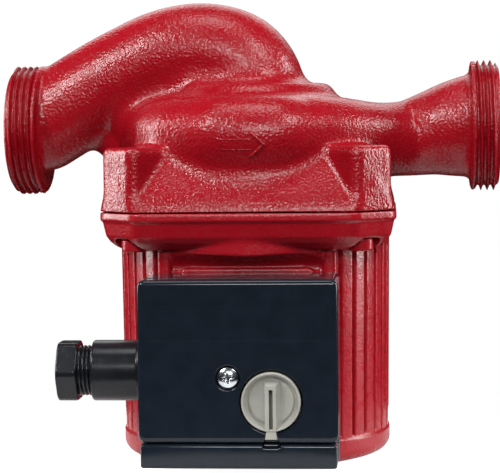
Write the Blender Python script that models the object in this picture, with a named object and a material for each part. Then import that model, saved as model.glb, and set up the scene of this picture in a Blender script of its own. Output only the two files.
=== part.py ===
"""Wet-rotor circulator pump: cast volute housing on top, motor hanging below it, terminal box in front.

The constants are in millimetres, in a frame whose Z axis is the motor's axis and whose Z = 0 is the
motor's end face. +X runs from the suction port to the discharge port, and the terminal box faces -Y.
Meshes are made in metres, and every object is parented to one empty on the motor's axis.
"""

import math

import bmesh
import bpy
from mathutils import Matrix, Vector

MM = 0.001
GAP = 0.3

# Ports and heights
PORT_TO_PORT = 180.0
PORT_THREAD_R = 23.9
PORT_BORE_R = 16.0
PORT_Z = 119.0
JOINT_Z = 90.0
LEFT_THREAD = 14.0
RIGHT_THREAD = 11.0

# Flange shared by the pump housing and the motor housing
FLANGE_HALF = 52.5
FLANGE_CORNER = 14.0
SCREW_OFFSET = 40.0
SCREW_R = 2.7
SCREW_HEAD_R = 4.3

# Pump housing casting
WALL = 4.0
CHAMBER_R = 34.0
EYE_R = 12.5
SPIGOT_R = 44.0
SPIGOT_DEPTH = 4.7

# Motor housing
MOTOR_TOP_R = 49.9
MOTOR_END_R = 49.2
MOTOR_BORE_R = 39.4
FLAT_FRONT = 42.0
GROOVE_COUNT = 37
GROOVE_START = math.radians(41.0)
GROOVE_WIDTH = 1.3
GROOVE_DEPTH = 1.6
GROOVE_BOTTOM = 9.5
SKIRT_BOTTOM = 77.0

# Wet rotor
SHAFT_R = 4.0
ROTOR_R = 21.8
CAN_R = 23.5
CAN_WALL = 0.9
IMPELLER_R = 31.0
IMPELLER_Z = 107.0
BLADES = 7
BLADE_STEPS = 4

# Terminal box, measured forward from the motor's axis
BOX_CENTRE_X = -1.0
BOX_HALF_WIDTH = 33.7
BOX_TOP = 68.5
BOX_BOTTOM = 4.8
BOX_BACK = FLAT_FRONT + GAP
BOX_SPLIT = 64.6
BOX_FRONT = 74.0
BOX_WALL = 2.2
COVER_BOTTOM = 13.6
LIP_FRONT = 72.4
KNOB_X = 10.2
KNOB_Z = 27.7
KNOB_R = 10.0
KNOB_PROUD = 1.4
COVER_SCREW_X = -4.3
COVER_SCREW_Z = 35.7
BOX_SCREW_X = (-27.0, 25.0)
BOX_SCREW_Z = 58.0
LEAD_HOLE_R = 5.0
LEAD_HOLE_X = 24.0
LEAD_HOLE_Z = 18.0
GLAND_Y = -53.5
GLAND_Z = 35.6
GLAND_COLLAR_R = 10.6
GLAND_COLLAR_END = -52.7
GLAND_NUT = (-64.6, -57.4)
CABLE_R = 5.0

# The empty's place: it puts the middle of the whole pump's depth at Y = 0
AXIS_Y = (BOX_FRONT + KNOB_PROUD - FLANGE_HALF) / 2

# Suction duct: x, height above the port axis, outer radius
SUCTION = [(-79, 2.0, 17.2), (-69, 8.3, 17.4), (-58, 15, 17.3), (-46, 21.1, 17.5),
           (-32, 26.6, 18.0), (-18, 28, 18.4), (-6, 24.2, 18.7), (0.2, 15, 18.8), (0.5, 6, 17.0)]
# Web of metal under the suction duct, same columns
WEB = [(-50, -4, 9.0), (-40, 3, 15.0), (-22, 9, 18.0), (-8, 10, 18.0)]
# Discharge duct after the scroll: x, y, height above the port axis, outer radius
DISCHARGE = [(26, -29.5, -2.4, 15.0), (39, -20, -3.8, 14.6), (49, -9, -4.7, 14.2), (58, -2, -4.2, 14.3),
             (67, 0, -2.4, 15.6), (75, 0, -1.0, 17.6), (82, 0, 0, 19.0)]
SCROLL_FROM = math.radians(-30)
SCROLL_TO = math.radians(285)


# ---------------------------------------------------------------- materials

def finish(name, colour, roughness, metallic=0.0):
    """A Principled material in one colour."""
    material = bpy.data.materials.new(name)
    material.use_nodes = True
    shader = material.node_tree.nodes["Principled BSDF"]
    shader.inputs["Base Color"].default_value = (*colour, 1.0)
    shader.inputs["Roughness"].default_value = roughness
    shader.inputs["Metallic"].default_value = metallic
    material.diffuse_color = (*colour, 1.0)
    return material


def make_finishes():
    return {
        "cast_paint": finish("cast_paint", (0.42, 0.016, 0.028), 0.38),
        "motor_paint": finish("motor_paint", (0.45, 0.018, 0.032), 0.36),
        "black_plastic": finish("black_plastic", (0.010, 0.013, 0.018), 0.22),
        "gland_plastic": finish("gland_plastic", (0.022, 0.024, 0.028), 0.35),
        "knob_plastic": finish("knob_plastic", (0.33, 0.32, 0.29), 0.35),
        "zinc": finish("zinc", (0.62, 0.64, 0.66), 0.28, 1.0),
        "stainless": finish("stainless", (0.60, 0.59, 0.57), 0.25, 1.0),
        "brass": finish("brass", (0.72, 0.52, 0.22), 0.30, 1.0),
        "ceramic": finish("ceramic", (0.78, 0.76, 0.70), 0.30),
        "carbon": finish("carbon", (0.03, 0.03, 0.032), 0.45),
        "lamination": finish("lamination", (0.24, 0.25, 0.27), 0.45, 1.0),
        "copper": finish("copper", (0.60, 0.25, 0.12), 0.35, 1.0),
        "rubber": finish("rubber", (0.018, 0.018, 0.018), 0.75),
        "composite": finish("composite", (0.11, 0.12, 0.13), 0.50),
        "label_foil": finish("label_foil", (0.66, 0.67, 0.68), 0.35, 0.8),
        "cream_plastic": finish("cream_plastic", (0.62, 0.58, 0.48), 0.45),
    }


# ---------------------------------------------------------------- mesh makers

def point(x, y, z):
    return Vector((x * MM, y * MM, z * MM))


def circle(radius, count, centre=(0.0, 0.0), phase=0.0):
    """Outline points round a centre, anticlockwise."""
    angles = [phase + math.tau * i / count for i in range(count)]
    return [(centre[0] + radius * math.cos(a), centre[1] + radius * math.sin(a)) for a in angles]


def cut_square(half, corner):
    """A square outline with straight-cut corners."""
    edge = half - corner
    return [(half, -edge), (half, edge), (edge, half), (-edge, half),
            (-half, edge), (-half, -edge), (-edge, -half), (edge, -half)]


def rounded_box(low, high, radius, steps=3):
    """A rectangle outline with round corners."""
    corners = [(high[0] - radius, high[1] - radius, 0.0), (low[0] + radius, high[1] - radius, 0.25),
               (low[0] + radius, low[1] + radius, 0.5), (high[0] - radius, low[1] + radius, 0.75)]
    outline = []
    for x, y, turn in corners:
        for step in range(steps + 1):
            angle = math.tau * (turn + 0.25 * step / steps)
            outline.append((x + radius * math.cos(angle), y + radius * math.sin(angle)))
    return outline


def loft(rings, closed_ends=True):
    """Skin through rings of equal length, in metres."""
    mesh = bmesh.new()
    rows = [[mesh.verts.new(p) for p in ring] for ring in rings]
    count = len(rows[0])
    for first, second in zip(rows, rows[1:]):
        for i in range(count):
            j = (i + 1) % count
            mesh.faces.new((first[i], first[j], second[j], second[i]))
    if closed_ends:
        mesh.faces.new(rows[0])
        mesh.faces.new(rows[-1])
    bmesh.ops.recalc_face_normals(mesh, faces=mesh.faces)
    return mesh


def prism(outline, low, high, along="Z"):
    """An outline pulled from low to high. Along Y the outline is x, z and low and high are y."""
    def at(p, level):
        if along == "Z":
            return point(p[0], p[1], level)
        if along == "Y":
            return point(p[0], level, p[1])
        return point(level, p[0], p[1])
    return loft([[at(p, low) for p in outline], [at(p, high) for p in outline]])


def layered(layers):
    """A skin through outlines at their heights: (outline, z) pairs."""
    return loft([[point(x, y, z) for x, y in outline] for outline, z in layers])


def hollow_prism(outer, inner, low, high):
    """Two outlines of equal length pulled from low to high, open through the middle."""
    rings = [[point(x, y, z) for x, y in outline]
             for outline, z in ((outer, low), (outer, high), (inner, high), (inner, low))]
    mesh = loft(rings + rings[:1], closed_ends=False)
    bmesh.ops.remove_doubles(mesh, verts=mesh.verts, dist=1e-7)
    bmesh.ops.recalc_face_normals(mesh, faces=mesh.faces)
    return mesh


def turned(profile, segments=40):
    """A profile of r, z points spun round Z: solid where it starts and ends on the axis, else a ring."""
    mesh = bmesh.new()
    verts = [mesh.verts.new(point(r, 0, z)) for r, z in profile]
    edges = [mesh.edges.new(pair) for pair in zip(verts, verts[1:])]
    if profile[0][0] > 0:
        edges.append(mesh.edges.new((verts[-1], verts[0])))
    bmesh.ops.spin(mesh, geom=verts + edges, cent=(0, 0, 0), axis=(0, 0, 1), dvec=(0, 0, 0),
                   angle=math.tau, steps=segments, use_merge=True)
    bmesh.ops.remove_doubles(mesh, verts=mesh.verts, dist=1e-7)
    bmesh.ops.recalc_face_normals(mesh, faces=mesh.faces)
    return mesh


def rod(radius, low, high, segments=24, bore=0.0):
    """A round bar or tube along Z."""
    if bore:
        return turned([(radius, high), (radius, low), (bore, low), (bore, high)], segments)
    return turned([(0, high), (radius, high), (radius, low), (0, low)], segments)


def smooth_path(points, steps=2):
    """Catmull-Rom points through a list of tuples, whatever they hold."""
    padded = [points[0], *points, points[-1]]
    path = []
    for a, b, c, d in zip(padded, padded[1:], padded[2:], padded[3:]):
        for step in range(steps):
            t = step / steps
            path.append(tuple(
                0.5 * (2 * q + (r - p) * t + (2 * p - 5 * q + 4 * r - s) * t * t
                       + (3 * q - p - 3 * r + s) * t ** 3)
                for p, q, r, s in zip(a, b, c, d)))
    path.append(tuple(points[-1]))
    return path


def duct(path, thinner=0.0, sides=16):
    """A round duct through x, y, z, radius points, with its radius reduced by a wall."""
    centres = [point(*p[:3]) for p in path]
    side = Vector((0, 1, 0))
    rings = []
    for i, centre in enumerate(centres):
        ahead = centres[min(i + 1, len(centres) - 1)] - centres[max(i - 1, 0)]
        ahead.normalize()
        side = (side - ahead * side.dot(ahead)).normalized()
        up = ahead.cross(side)
        radius = (path[i][3] - thinner) * MM
        turns = [math.tau * k / sides for k in range(sides)]
        rings.append([centre + (side * math.cos(a) + up * math.sin(a)) * radius for a in turns])
    return loft(rings)


# ---------------------------------------------------------------- objects

def turn_to(mesh, axis):
    """Turn a shape made along Z so that it runs along +X or -Y."""
    angle, about = {"X": (math.radians(90), "Y"), "-Y": (math.radians(90), "X")}[axis]
    bmesh.ops.rotate(mesh, verts=mesh.verts, cent=(0, 0, 0), matrix=Matrix.Rotation(angle, 3, about))
    return mesh


def shift(mesh, x, y, z):
    bmesh.ops.translate(mesh, verts=mesh.verts, vec=point(x, y, z))
    return mesh


def place(name, mesh, material, origin=(0, 0, 0)):
    """An object on the motor's axis, or with its origin elsewhere, from a mesh made in the pump's frame."""
    shift(mesh, *(-value for value in origin))
    data = bpy.data.meshes.new(name)
    mesh.to_mesh(data)
    mesh.free()
    data.materials.append(material)
    thing = bpy.data.objects.new(name, data)
    bpy.context.scene.collection.objects.link(thing)
    thing.location = point(*origin)
    return thing


def combine(target, operation, meshes, solver="EXACT"):
    """Join the meshes to the target or cut them from it, one Boolean after another, and keep the result."""
    helpers = []
    for number, mesh in enumerate(meshes):
        shift(mesh, *(-value / MM for value in target.location))
        data = bpy.data.meshes.new("helper")
        mesh.to_mesh(data)
        mesh.free()
        helper = bpy.data.objects.new("helper", data)
        helper.location = target.location
        helper.hide_render = True
        helper.display_type = "WIRE"
        bpy.context.scene.collection.objects.link(helper)
        helpers.append(helper)
        modifier = target.modifiers.new(f"{operation.lower()}_{number}", "BOOLEAN")
        modifier.operation = operation
        modifier.solver = solver
        modifier.object = helper
    bpy.context.view_layer.update()
    depsgraph = bpy.context.evaluated_depsgraph_get()
    result = bpy.data.meshes.new_from_object(target.evaluated_get(depsgraph))
    target.modifiers.clear()
    target.data = result
    for helper in helpers:
        bpy.data.objects.remove(helper)
    return target


def join(target, *meshes, solver="EXACT"):
    return combine(target, "UNION", meshes, solver)


def cut(target, *meshes, solver="EXACT"):
    return combine(target, "DIFFERENCE", meshes, solver)


def shade(thing, degrees=35):
    thing.data.shade_smooth()
    thing.data.set_sharp_from_angle(angle=math.radians(degrees))


# ---------------------------------------------------------------- pump housing

def suction_path():
    """The suction duct's centreline and outer radius, from the port over the top and down to the eye."""
    return smooth_path([(x, 0.0, PORT_Z + z, r) for x, z, r in SUCTION])


def scroll_path(turns=12):
    """The scroll's centreline, widening as it goes round the impeller."""
    path = []
    for i in range(turns + 1):
        share = i / turns
        angle = SCROLL_FROM + (SCROLL_TO - SCROLL_FROM) * share
        radius = 30.0 + 5.5 * share
        path.append((radius * math.cos(angle), radius * math.sin(angle), PORT_Z - 1.0, 11.0 + 3.5 * share))
    return path


def discharge_path():
    """The duct from the scroll's wide end to the discharge port."""
    ducts = [(x, y, PORT_Z + z, r) for x, y, z, r in DISCHARGE]
    return smooth_path([*scroll_path()[-2:], *ducts])


def port(side, length):
    """A threaded port's outer cylinder, with its shoulder behind it, on side -1 or +1."""
    face = PORT_TO_PORT / 2
    profile = [(0, face), (PORT_THREAD_R - 1, face), (PORT_THREAD_R, face - 1),
               (PORT_THREAD_R, face - length),
               (18.0, face - length - 5.5), (0, face - length - 5.5)]
    mesh = turn_to(turned(profile, 32), "X")
    if side < 0:
        bmesh.ops.scale(mesh, verts=mesh.verts, vec=(-1, 1, 1))
        bmesh.ops.reverse_faces(mesh, faces=mesh.faces)
    return shift(mesh, 0, 0, PORT_Z)


def port_bore(side):
    """A port's bore, tapering from its mouth to the duct behind it."""
    face = PORT_TO_PORT / 2
    profile = [(0, face + 2), (PORT_BORE_R, face + 2), (PORT_BORE_R, face - 6), (13.4, face - 14),
               (0, face - 14)]
    mesh = turn_to(turned(profile, 24), "X")
    if side < 0:
        bmesh.ops.scale(mesh, verts=mesh.verts, vec=(-1, 1, 1))
        bmesh.ops.reverse_faces(mesh, faces=mesh.faces)
    return shift(mesh, 0, 0, PORT_Z)


def corner_signs():
    return [(x, y) for x in (-1, 1) for y in (-1, 1)]


def corner_post(x, y):
    """The round boss over one flange screw, leaning on the flange's cut corner."""
    centre = (x * (SCREW_OFFSET - 1.3), y * (SCREW_OFFSET - 1.3))
    return layered([(circle(9.0, 10, centre), JOINT_Z + 0.2), (circle(8.7, 10, centre), JOINT_Z + 19),
                    (circle(6.0, 10, centre), JOINT_Z + 22.5)])


def make_pump_housing(material):
    base = layered([(cut_square(FLANGE_HALF, FLANGE_CORNER), JOINT_Z),
                    (cut_square(FLANGE_HALF - 0.5, FLANGE_CORNER), JOINT_Z + 3),
                    (cut_square(FLANGE_HALF - 8.5, FLANGE_CORNER + 2), JOINT_Z + 22)])
    housing = place("pump_housing", base, material)
    casing = turned([(0, 137), (21, 136.5), (28.5, 134.5), (33.5, 130), (38, 125), (43.5, 119), (45, 108),
                     (40, 97), (0, 97)], 28)
    web = duct([(x, 0.0, PORT_Z + z, r) for x, z, r in WEB], sides=16)
    join(housing, casing, web, duct(scroll_path()), duct(discharge_path()), duct(suction_path()),
         port(-1, LEFT_THREAD), port(1, RIGHT_THREAD), *(corner_post(x, y) for x, y in corner_signs()),
         solver="MANIFOLD")
    spigot_top = JOINT_Z + SPIGOT_DEPTH
    wet_space = turned([(0, 124), (EYE_R, 124), (EYE_R, 123.6), (17.8, 123.6), (17.8, 120.5),
                        (CHAMBER_R, 120.5),
                        (CHAMBER_R, 104), (38, 100), (38, spigot_top), (SPIGOT_R, spigot_top),
                        (SPIGOT_R, JOINT_Z - 2), (0, JOINT_Z - 2)], 32)
    cut(housing, wet_space, duct(scroll_path(), WALL), duct(discharge_path(), WALL),
        duct(suction_path(), WALL),
        port_bore(-1), port_bore(1),
        *(shift(rod(SCREW_R + GAP, JOINT_Z - 2, JOINT_Z + 18.3, 10), x * SCREW_OFFSET, y * SCREW_OFFSET, 0)
          for x, y in corner_signs()), solver="MANIFOLD")
    return housing


# ---------------------------------------------------------------- motor housing

def groove_angles():
    """Directions of the grooves round the motor, measured from -Y, which faces the terminal box."""
    step = (math.tau - 2 * GROOVE_START) / (GROOVE_COUNT - 1)
    return [GROOVE_START + step * i for i in range(GROOVE_COUNT)]


def on_motor(radius, angle):
    """A point round the motor, from -Y towards +X."""
    return (radius * math.sin(angle), -radius * math.cos(angle))


def grooved_outline(radius):
    """The motor's cross-section: a flat in front, a rib on each side of it and grooves round the rest."""
    half = GROOVE_WIDTH / 2 / radius
    outline = []
    for angle in groove_angles():
        outline += [on_motor(radius, angle - half), on_motor(radius - GROOVE_DEPTH, angle - half),
                    on_motor(radius - GROOVE_DEPTH, angle + half), on_motor(radius, angle + half)]
    front = -FLAT_FRONT - 1
    outline += [(-30.5, -40), (-27, front), (27, front), (30.5, -40)]
    return outline


def flange_corner_cut(x, y):
    """Pocket under one corner of the flange, where the screw's head sits, and the screw's hole above it."""
    pocket = turned([(0, JOINT_Z + 1), (SCREW_R + GAP, JOINT_Z + 1), (SCREW_R + GAP, 80.5), (6.4, 80.5),
                     (6.4, 60), (0, 60)], 16)
    return shift(pocket, x * SCREW_OFFSET, y * SCREW_OFFSET, 0)


def make_motor_housing(material):
    body = layered([(grooved_outline(MOTOR_END_R), GROOVE_BOTTOM),
                    (grooved_outline(MOTOR_TOP_R), SKIRT_BOTTOM + 2)])
    housing = place("motor_housing", body, material)
    top = JOINT_Z - 0.4
    flange = layered([(cut_square(FLANGE_HALF - 6, FLANGE_CORNER), SKIRT_BOTTOM),
                      (cut_square(FLANGE_HALF - 1.8, FLANGE_CORNER), 81),
                      (cut_square(FLANGE_HALF, FLANGE_CORNER), 86.6),
                      (cut_square(FLANGE_HALF, FLANGE_CORNER), top)])
    end = turned([(0, GROOVE_BOTTOM + 0.5), (MOTOR_END_R + 0.4, GROOVE_BOTTOM + 0.5),
                  (MOTOR_END_R + 0.2, 4.0),
                  (MOTOR_END_R - 1.2, 1.2), (MOTOR_END_R - 4, 0), (0, 0)], 60)
    join(housing, flange, end)
    bore = turned([(0, top + 2), (MOTOR_BORE_R, top + 2), (MOTOR_BORE_R, 9), (10.2, 9), (10.2, 3.8),
                   (40.5, 3.8),
                   (40.5, -2), (0, -2)], 48)
    flat = prism([(-70, -60), (70, -60), (70, -FLAT_FRONT), (-70, -FLAT_FRONT)], -3, SKIRT_BOTTOM - 1.5)
    lead_hole = shift(turn_to(rod(LEAD_HOLE_R, 30, 60, 16), "-Y"), LEAD_HOLE_X, 0, LEAD_HOLE_Z)
    holes = [shift(turn_to(rod(1.9, 36, 60, 12), "-Y"), x, 0, BOX_SCREW_Z) for x in BOX_SCREW_X]
    cut(housing, bore, flat, lead_hole, *holes, *(flange_corner_cut(x, y) for x, y in corner_signs()),
        solver="MANIFOLD")
    return housing


# ---------------------------------------------------------------- wet rotor and hydraulics

def make_housing_screws(material):
    for number, (x, y) in enumerate(corner_signs(), 1):
        head = (80.2, 75.8)
        profile = [(0, JOINT_Z + 17.5), (SCREW_R, JOINT_Z + 17.5), (SCREW_R, head[0]),
                   (SCREW_HEAD_R, head[0]),
                   (SCREW_HEAD_R, head[1] + 0.5), (SCREW_HEAD_R - 0.5, head[1]), (2.4, head[1]),
                   (2.4, head[1] + 2.4),
                   (0, head[1] + 2.4)]
        origin = (x * SCREW_OFFSET, y * SCREW_OFFSET, 0)
        screw = place(f"housing_screw_{number}", shift(turned(profile, 12), *origin), material, origin)
        shade(screw)


def blade(number, low, high):
    """One backward-curved impeller blade as a bent plate."""
    outer, inner = [], []
    for step in range(BLADE_STEPS + 1):
        share = step / BLADE_STEPS
        radius = 12.5 + (IMPELLER_R - 0.5 - 12.5) * share
        angle = math.tau * number / BLADES - math.radians(72) * share
        half = 0.8 / radius
        outer.append((radius * math.cos(angle + half), radius * math.sin(angle + half)))
        inner.append((radius * math.cos(angle - half), radius * math.sin(angle - half)))
    return prism(outer + inner[::-1], low, high)


def make_impeller(material):
    back = IMPELLER_Z
    front = back + 8.0
    disc = turned([(IMPELLER_R, back), (IMPELLER_R, back + 1.6), (12, back + 1.6), (8, back + 5),
                   (SHAFT_R + GAP, back + 5),
                   (SHAFT_R + GAP, back - 2), (7, back - 2), (9, back)], 28)
    impeller = place("impeller", disc, material)
    shroud = turned([(IMPELLER_R, front), (IMPELLER_R, front + 1.5), (16, front + 3), (14, front + 4),
                     (14, front + 8),
                     (12, front + 8), (12, front + 3), (14.5, front + 1.2)], 28)
    join(impeller, shroud, *(blade(i, back + 1.2, front + 0.9) for i in range(BLADES)))
    return impeller


def make_wet_rotor(looks):
    shade(make_impeller(looks["composite"]))
    shaft = turned([(0, 118.5), (SHAFT_R - 0.5, 118.5), (SHAFT_R, 118), (SHAFT_R, 18),
                    (SHAFT_R - 0.5, 17.5), (0, 17.5)],
                   20)
    shade(place("shaft", shaft, looks["ceramic"]))
    nut = hollow_prism(circle(5.8, 12), circle(SHAFT_R + GAP, 12), IMPELLER_Z + 5.3, IMPELLER_Z + 8.6)
    shade(place("impeller_clamp_ring", nut, looks["stainless"]))
    core = turned([(ROTOR_R, 81), (ROTOR_R, 28), (ROTOR_R - 1, 27), (SHAFT_R + GAP, 27),
                   (SHAFT_R + GAP, 82),
                   (ROTOR_R - 1, 82)], 28)
    shade(place("rotor_core", core, looks["stainless"]))
    shade(place("thrust_ring", rod(9.0, 87.5, 91.5, 24, SHAFT_R + GAP), looks["carbon"]))


def make_wet_end(looks):
    """What stands still round the rotor: neck ring, bearing plate, bearings, can and gasket."""
    shade(place("neck_ring", rod(17.4, 120.9, 123.2, 32, 14.4), looks["stainless"]))
    plate = turned([(SPIGOT_R - GAP, 92.9), (SPIGOT_R - GAP, 94.4), (34, 94.4), (14, 102), (10.5, 103.5),
                    (7.4, 103.5),
                    (7.4, 93), (10.5, 93), (12, 99), (32.5, 92.9)], 32)
    shade(place("bearing_plate", plate, looks["stainless"]))
    shade(place("upper_bearing", rod(7.1, 93.5, 103, 24, SHAFT_R + GAP), looks["ceramic"]))
    shade(place("lower_bearing", rod(7.1, 17, 25, 24, SHAFT_R + GAP), looks["ceramic"]))
    seal = turned([(SPIGOT_R - GAP, 91.2), (SPIGOT_R - GAP, 92.6), (38, 92.6), (38, 91.2)], 32)
    shade(place("housing_gasket", seal, looks["rubber"]))
    inner = CAN_R - CAN_WALL
    can = turned([(SPIGOT_R - GAP, 89.9), (SPIGOT_R - GAP, 90.9), (inner, 90.9), (inner, 25.5), (7.4, 25.5),
                  (7.4, 16),
                  (5.2, 15), (5.2, 7.6), (8.4, 7.6), (8.4, 24.5), (CAN_R, 24.5), (CAN_R, 89.9)], 32)
    shade(place("rotor_can", can, looks["stainless"]))
    plug = turned([(0, 13.5), (4.4, 13.5), (4.9, 13), (4.9, 7.2), (8.8, 7.2), (8.8, 4.4), (8.2, 3.8),
                   (0, 3.8)], 24)
    vent_plug = place("vent_plug", plug, looks["brass"])
    slot = prism([(-9.5, -0.8), (9.5, -0.8), (9.5, 0.8), (-9.5, 0.8)], 3, 5.4)
    shade(cut(vent_plug, slot))
    plate = hollow_prism(circle(40.0, 48), circle(11.0, 48), 2.9, 3.5)
    shade(place("nameplate", plate, looks["label_foil"]))


def slotted_bore(radius, slots, slot_depth, width):
    """The stator's bore with its slots, and the plain outer circle with as many points."""
    inner, outer = [], []
    for i in range(slots):
        middle = math.tau * i / slots
        half, step = width / 2 / radius, math.tau / slots / 4
        for angle, r in ((middle - half, radius), (middle - half * 0.8, radius + slot_depth),
                         (middle + half * 0.8, radius + slot_depth), (middle + half, radius)):
            inner.append((r * math.cos(angle), r * math.sin(angle)))
        outer += [(39.0 * math.cos(middle + k * step), 39.0 * math.sin(middle + k * step))
                  for k in (-1.5, -0.5, 0.5, 1.5)]
    return outer, inner


def make_stator(looks):
    outer, inner = slotted_bore(CAN_R + 0.5, 12, 9.0, 4.0)
    shade(place("stator_core", hollow_prism(outer, inner, 30, 78), looks["lamination"]))
    for name, low in (("lower_winding", 19.8), ("upper_winding", 78.3)):
        high = low + 9.9
        ring = turned([(37, high), (38, high - 1.5), (38, low + 2), (36, low), (28, low), (26, low + 2),
                       (26, high - 1.5), (27, high)], 24)
        shade(place(name, ring, looks["copper"]))


# ---------------------------------------------------------------- terminal box

def box_outline(low_z, high_z, inset, radius):
    """The box's outline seen from the front, drawn in from its full size."""
    low_x = BOX_CENTRE_X - BOX_HALF_WIDTH + inset
    high_x = BOX_CENTRE_X + BOX_HALF_WIDTH - inset
    return rounded_box((low_x, low_z + inset), (high_x, high_z - inset), radius)


def facing_rod(radius, back, front, x, z, segments=20, bore=0.0):
    """A round bar or tube from back to front, measured forward from the motor's axis."""
    return shift(turn_to(rod(radius, back, front, segments, bore), "-Y"), x, 0, z)


def make_box_base(material):
    shell = prism(box_outline(BOX_BOTTOM, BOX_TOP, 0, 2.5), -BOX_SPLIT, -BOX_BACK, "Y")
    base = place("terminal_box_base", shell, material)
    lip_top = COVER_BOTTOM - 0.8
    lip = prism(box_outline(BOX_BOTTOM, lip_top + 0.8, 0.8, 2.0), -LIP_FRONT, -BOX_SPLIT + 1, "Y")
    collar_x = BOX_CENTRE_X - BOX_HALF_WIDTH
    collar = turn_to(rod(GLAND_COLLAR_R, GLAND_COLLAR_END, collar_x + 1, 28), "X")
    join(base, lip, shift(collar, 0, GLAND_Y, GLAND_Z))
    space = prism(box_outline(COVER_BOTTOM - 0.6, BOX_TOP, BOX_WALL, 1.5), -BOX_SPLIT - 2, -BOX_BACK - 2.4,
                  "Y")
    collar_bore = turn_to(rod(8.7, GLAND_COLLAR_END - 2, -38.0, 24), "X")
    entry = turn_to(rod(CABLE_R + 0.6, -40, collar_x + 6, 20), "X")
    cut(base, space, shift(collar_bore, 0, GLAND_Y, GLAND_Z), shift(entry, 0, GLAND_Y, GLAND_Z))
    column = facing_rod(3.6, BOX_BACK + 1, 62, COVER_SCREW_X, COVER_SCREW_Z, 16)
    join(base, column)
    screw_hole = facing_rod(2.1, BOX_BACK + 4, 70, COVER_SCREW_X, COVER_SCREW_Z, 12)
    holes = [facing_rod(1.9, BOX_BACK - 2, BOX_BACK + 6, x, BOX_SCREW_Z, 12) for x in BOX_SCREW_X]
    lead_hole = facing_rod(LEAD_HOLE_R, BOX_BACK - 2, BOX_BACK + 6, LEAD_HOLE_X, LEAD_HOLE_Z, 16)
    cut(base, screw_hole, lead_hole, *holes)
    return base


def make_box_cover(material):
    back = BOX_SPLIT + 1.9
    shell = layered_forward([(0, back), (0, BOX_FRONT - 1.2), (1.2, BOX_FRONT)])
    cover = place("terminal_box_cover", shell, material)
    space = prism(box_outline(COVER_BOTTOM, BOX_TOP, BOX_WALL, 1.5), -BOX_FRONT + BOX_WALL, -back + 2, "Y")
    knob_hole = facing_rod(KNOB_R + 0.65, back - 2, BOX_FRONT + 2, KNOB_X, KNOB_Z, 36)
    screw_seat = facing_rod(4.15, BOX_FRONT - 1.4, BOX_FRONT + 2, COVER_SCREW_X, COVER_SCREW_Z, 20)
    screw_hole = facing_rod(2.2, back - 2, BOX_FRONT + 2, COVER_SCREW_X, COVER_SCREW_Z, 12)
    notch = prism([(KNOB_X - 2.6, 16), (KNOB_X + 2.6, 16), (KNOB_X + 4, COVER_BOTTOM - 2),
                   (KNOB_X - 4, COVER_BOTTOM - 2)][::-1], -BOX_FRONT - 2, -BOX_FRONT + 1.0, "Y")
    cut(cover, space, knob_hole, screw_seat, screw_hole, notch)
    return cover


def layered_forward(layers):
    """The cover's outer skin from inset, distance-forward pairs."""
    rings = []
    for inset, forward in layers:
        outline = box_outline(COVER_BOTTOM, BOX_TOP, inset, 2.5)
        rings.append([point(x, -forward, z) for x, z in outline])
    return loft(rings)


def make_knob(material):
    """The speed selector: a dished disc with a wedge bar, a pointer beyond its rim and a stem behind."""
    front = BOX_FRONT + KNOB_PROUD - 0.4
    disc = turned([(0, front - 2.2), (7.6, front - 1.8), (8.6, front), (KNOB_R - 0.3, front),
                   (KNOB_R, front - 0.5),
                   (KNOB_R, 66.5), (3.0, 66.5), (3.0, 58.2), (0, 58.2)], 32)
    shift(turn_to(disc, "-Y"), KNOB_X, 0, KNOB_Z)
    knob = place("selector_knob", disc, material, (KNOB_X, 0, KNOB_Z))
    bar = prism([(KNOB_X - 2, KNOB_Z + 8.2), (KNOB_X - 2, KNOB_Z - 9), (KNOB_X + 2, KNOB_Z - 9),
                 (KNOB_X + 2, KNOB_Z + 8.2)], -front - 0.4, -front + 3, "Y")
    pointer = prism([(KNOB_X - 1.9, KNOB_Z - 8), (KNOB_X - 2.3, KNOB_Z - 12.6),
                     (KNOB_X + 2.3, KNOB_Z - 12.6),
                     (KNOB_X + 1.9, KNOB_Z - 8)], -front - 0.2, -BOX_FRONT - GAP, "Y")
    join(knob, bar, pointer)
    slot = prism([(KNOB_X - 0.55, KNOB_Z + 4.4), (KNOB_X - 0.55, KNOB_Z - 8.6),
                  (KNOB_X + 0.55, KNOB_Z - 8.6),
                  (KNOB_X + 0.55, KNOB_Z + 4.4)], -front - 1, -front + 1.4, "Y")
    return cut(knob, slot)


def make_switch(looks):
    body = prism([(0.6, 18.1), (19.8, 18.1), (19.8, 37.3), (0.6, 37.3)], -58.0, -47.0, "Y")
    switch = place("switch_body", body, looks["cream_plastic"])
    shade(cut(switch, facing_rod(8.1, 49, 60, KNOB_X, KNOB_Z, 28)))
    origin = (KNOB_X, 0, KNOB_Z)
    shade(place("switch_rotor", facing_rod(7.7, 49.4, 57.8, KNOB_X, KNOB_Z, 28), looks["composite"],
                origin))


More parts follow.
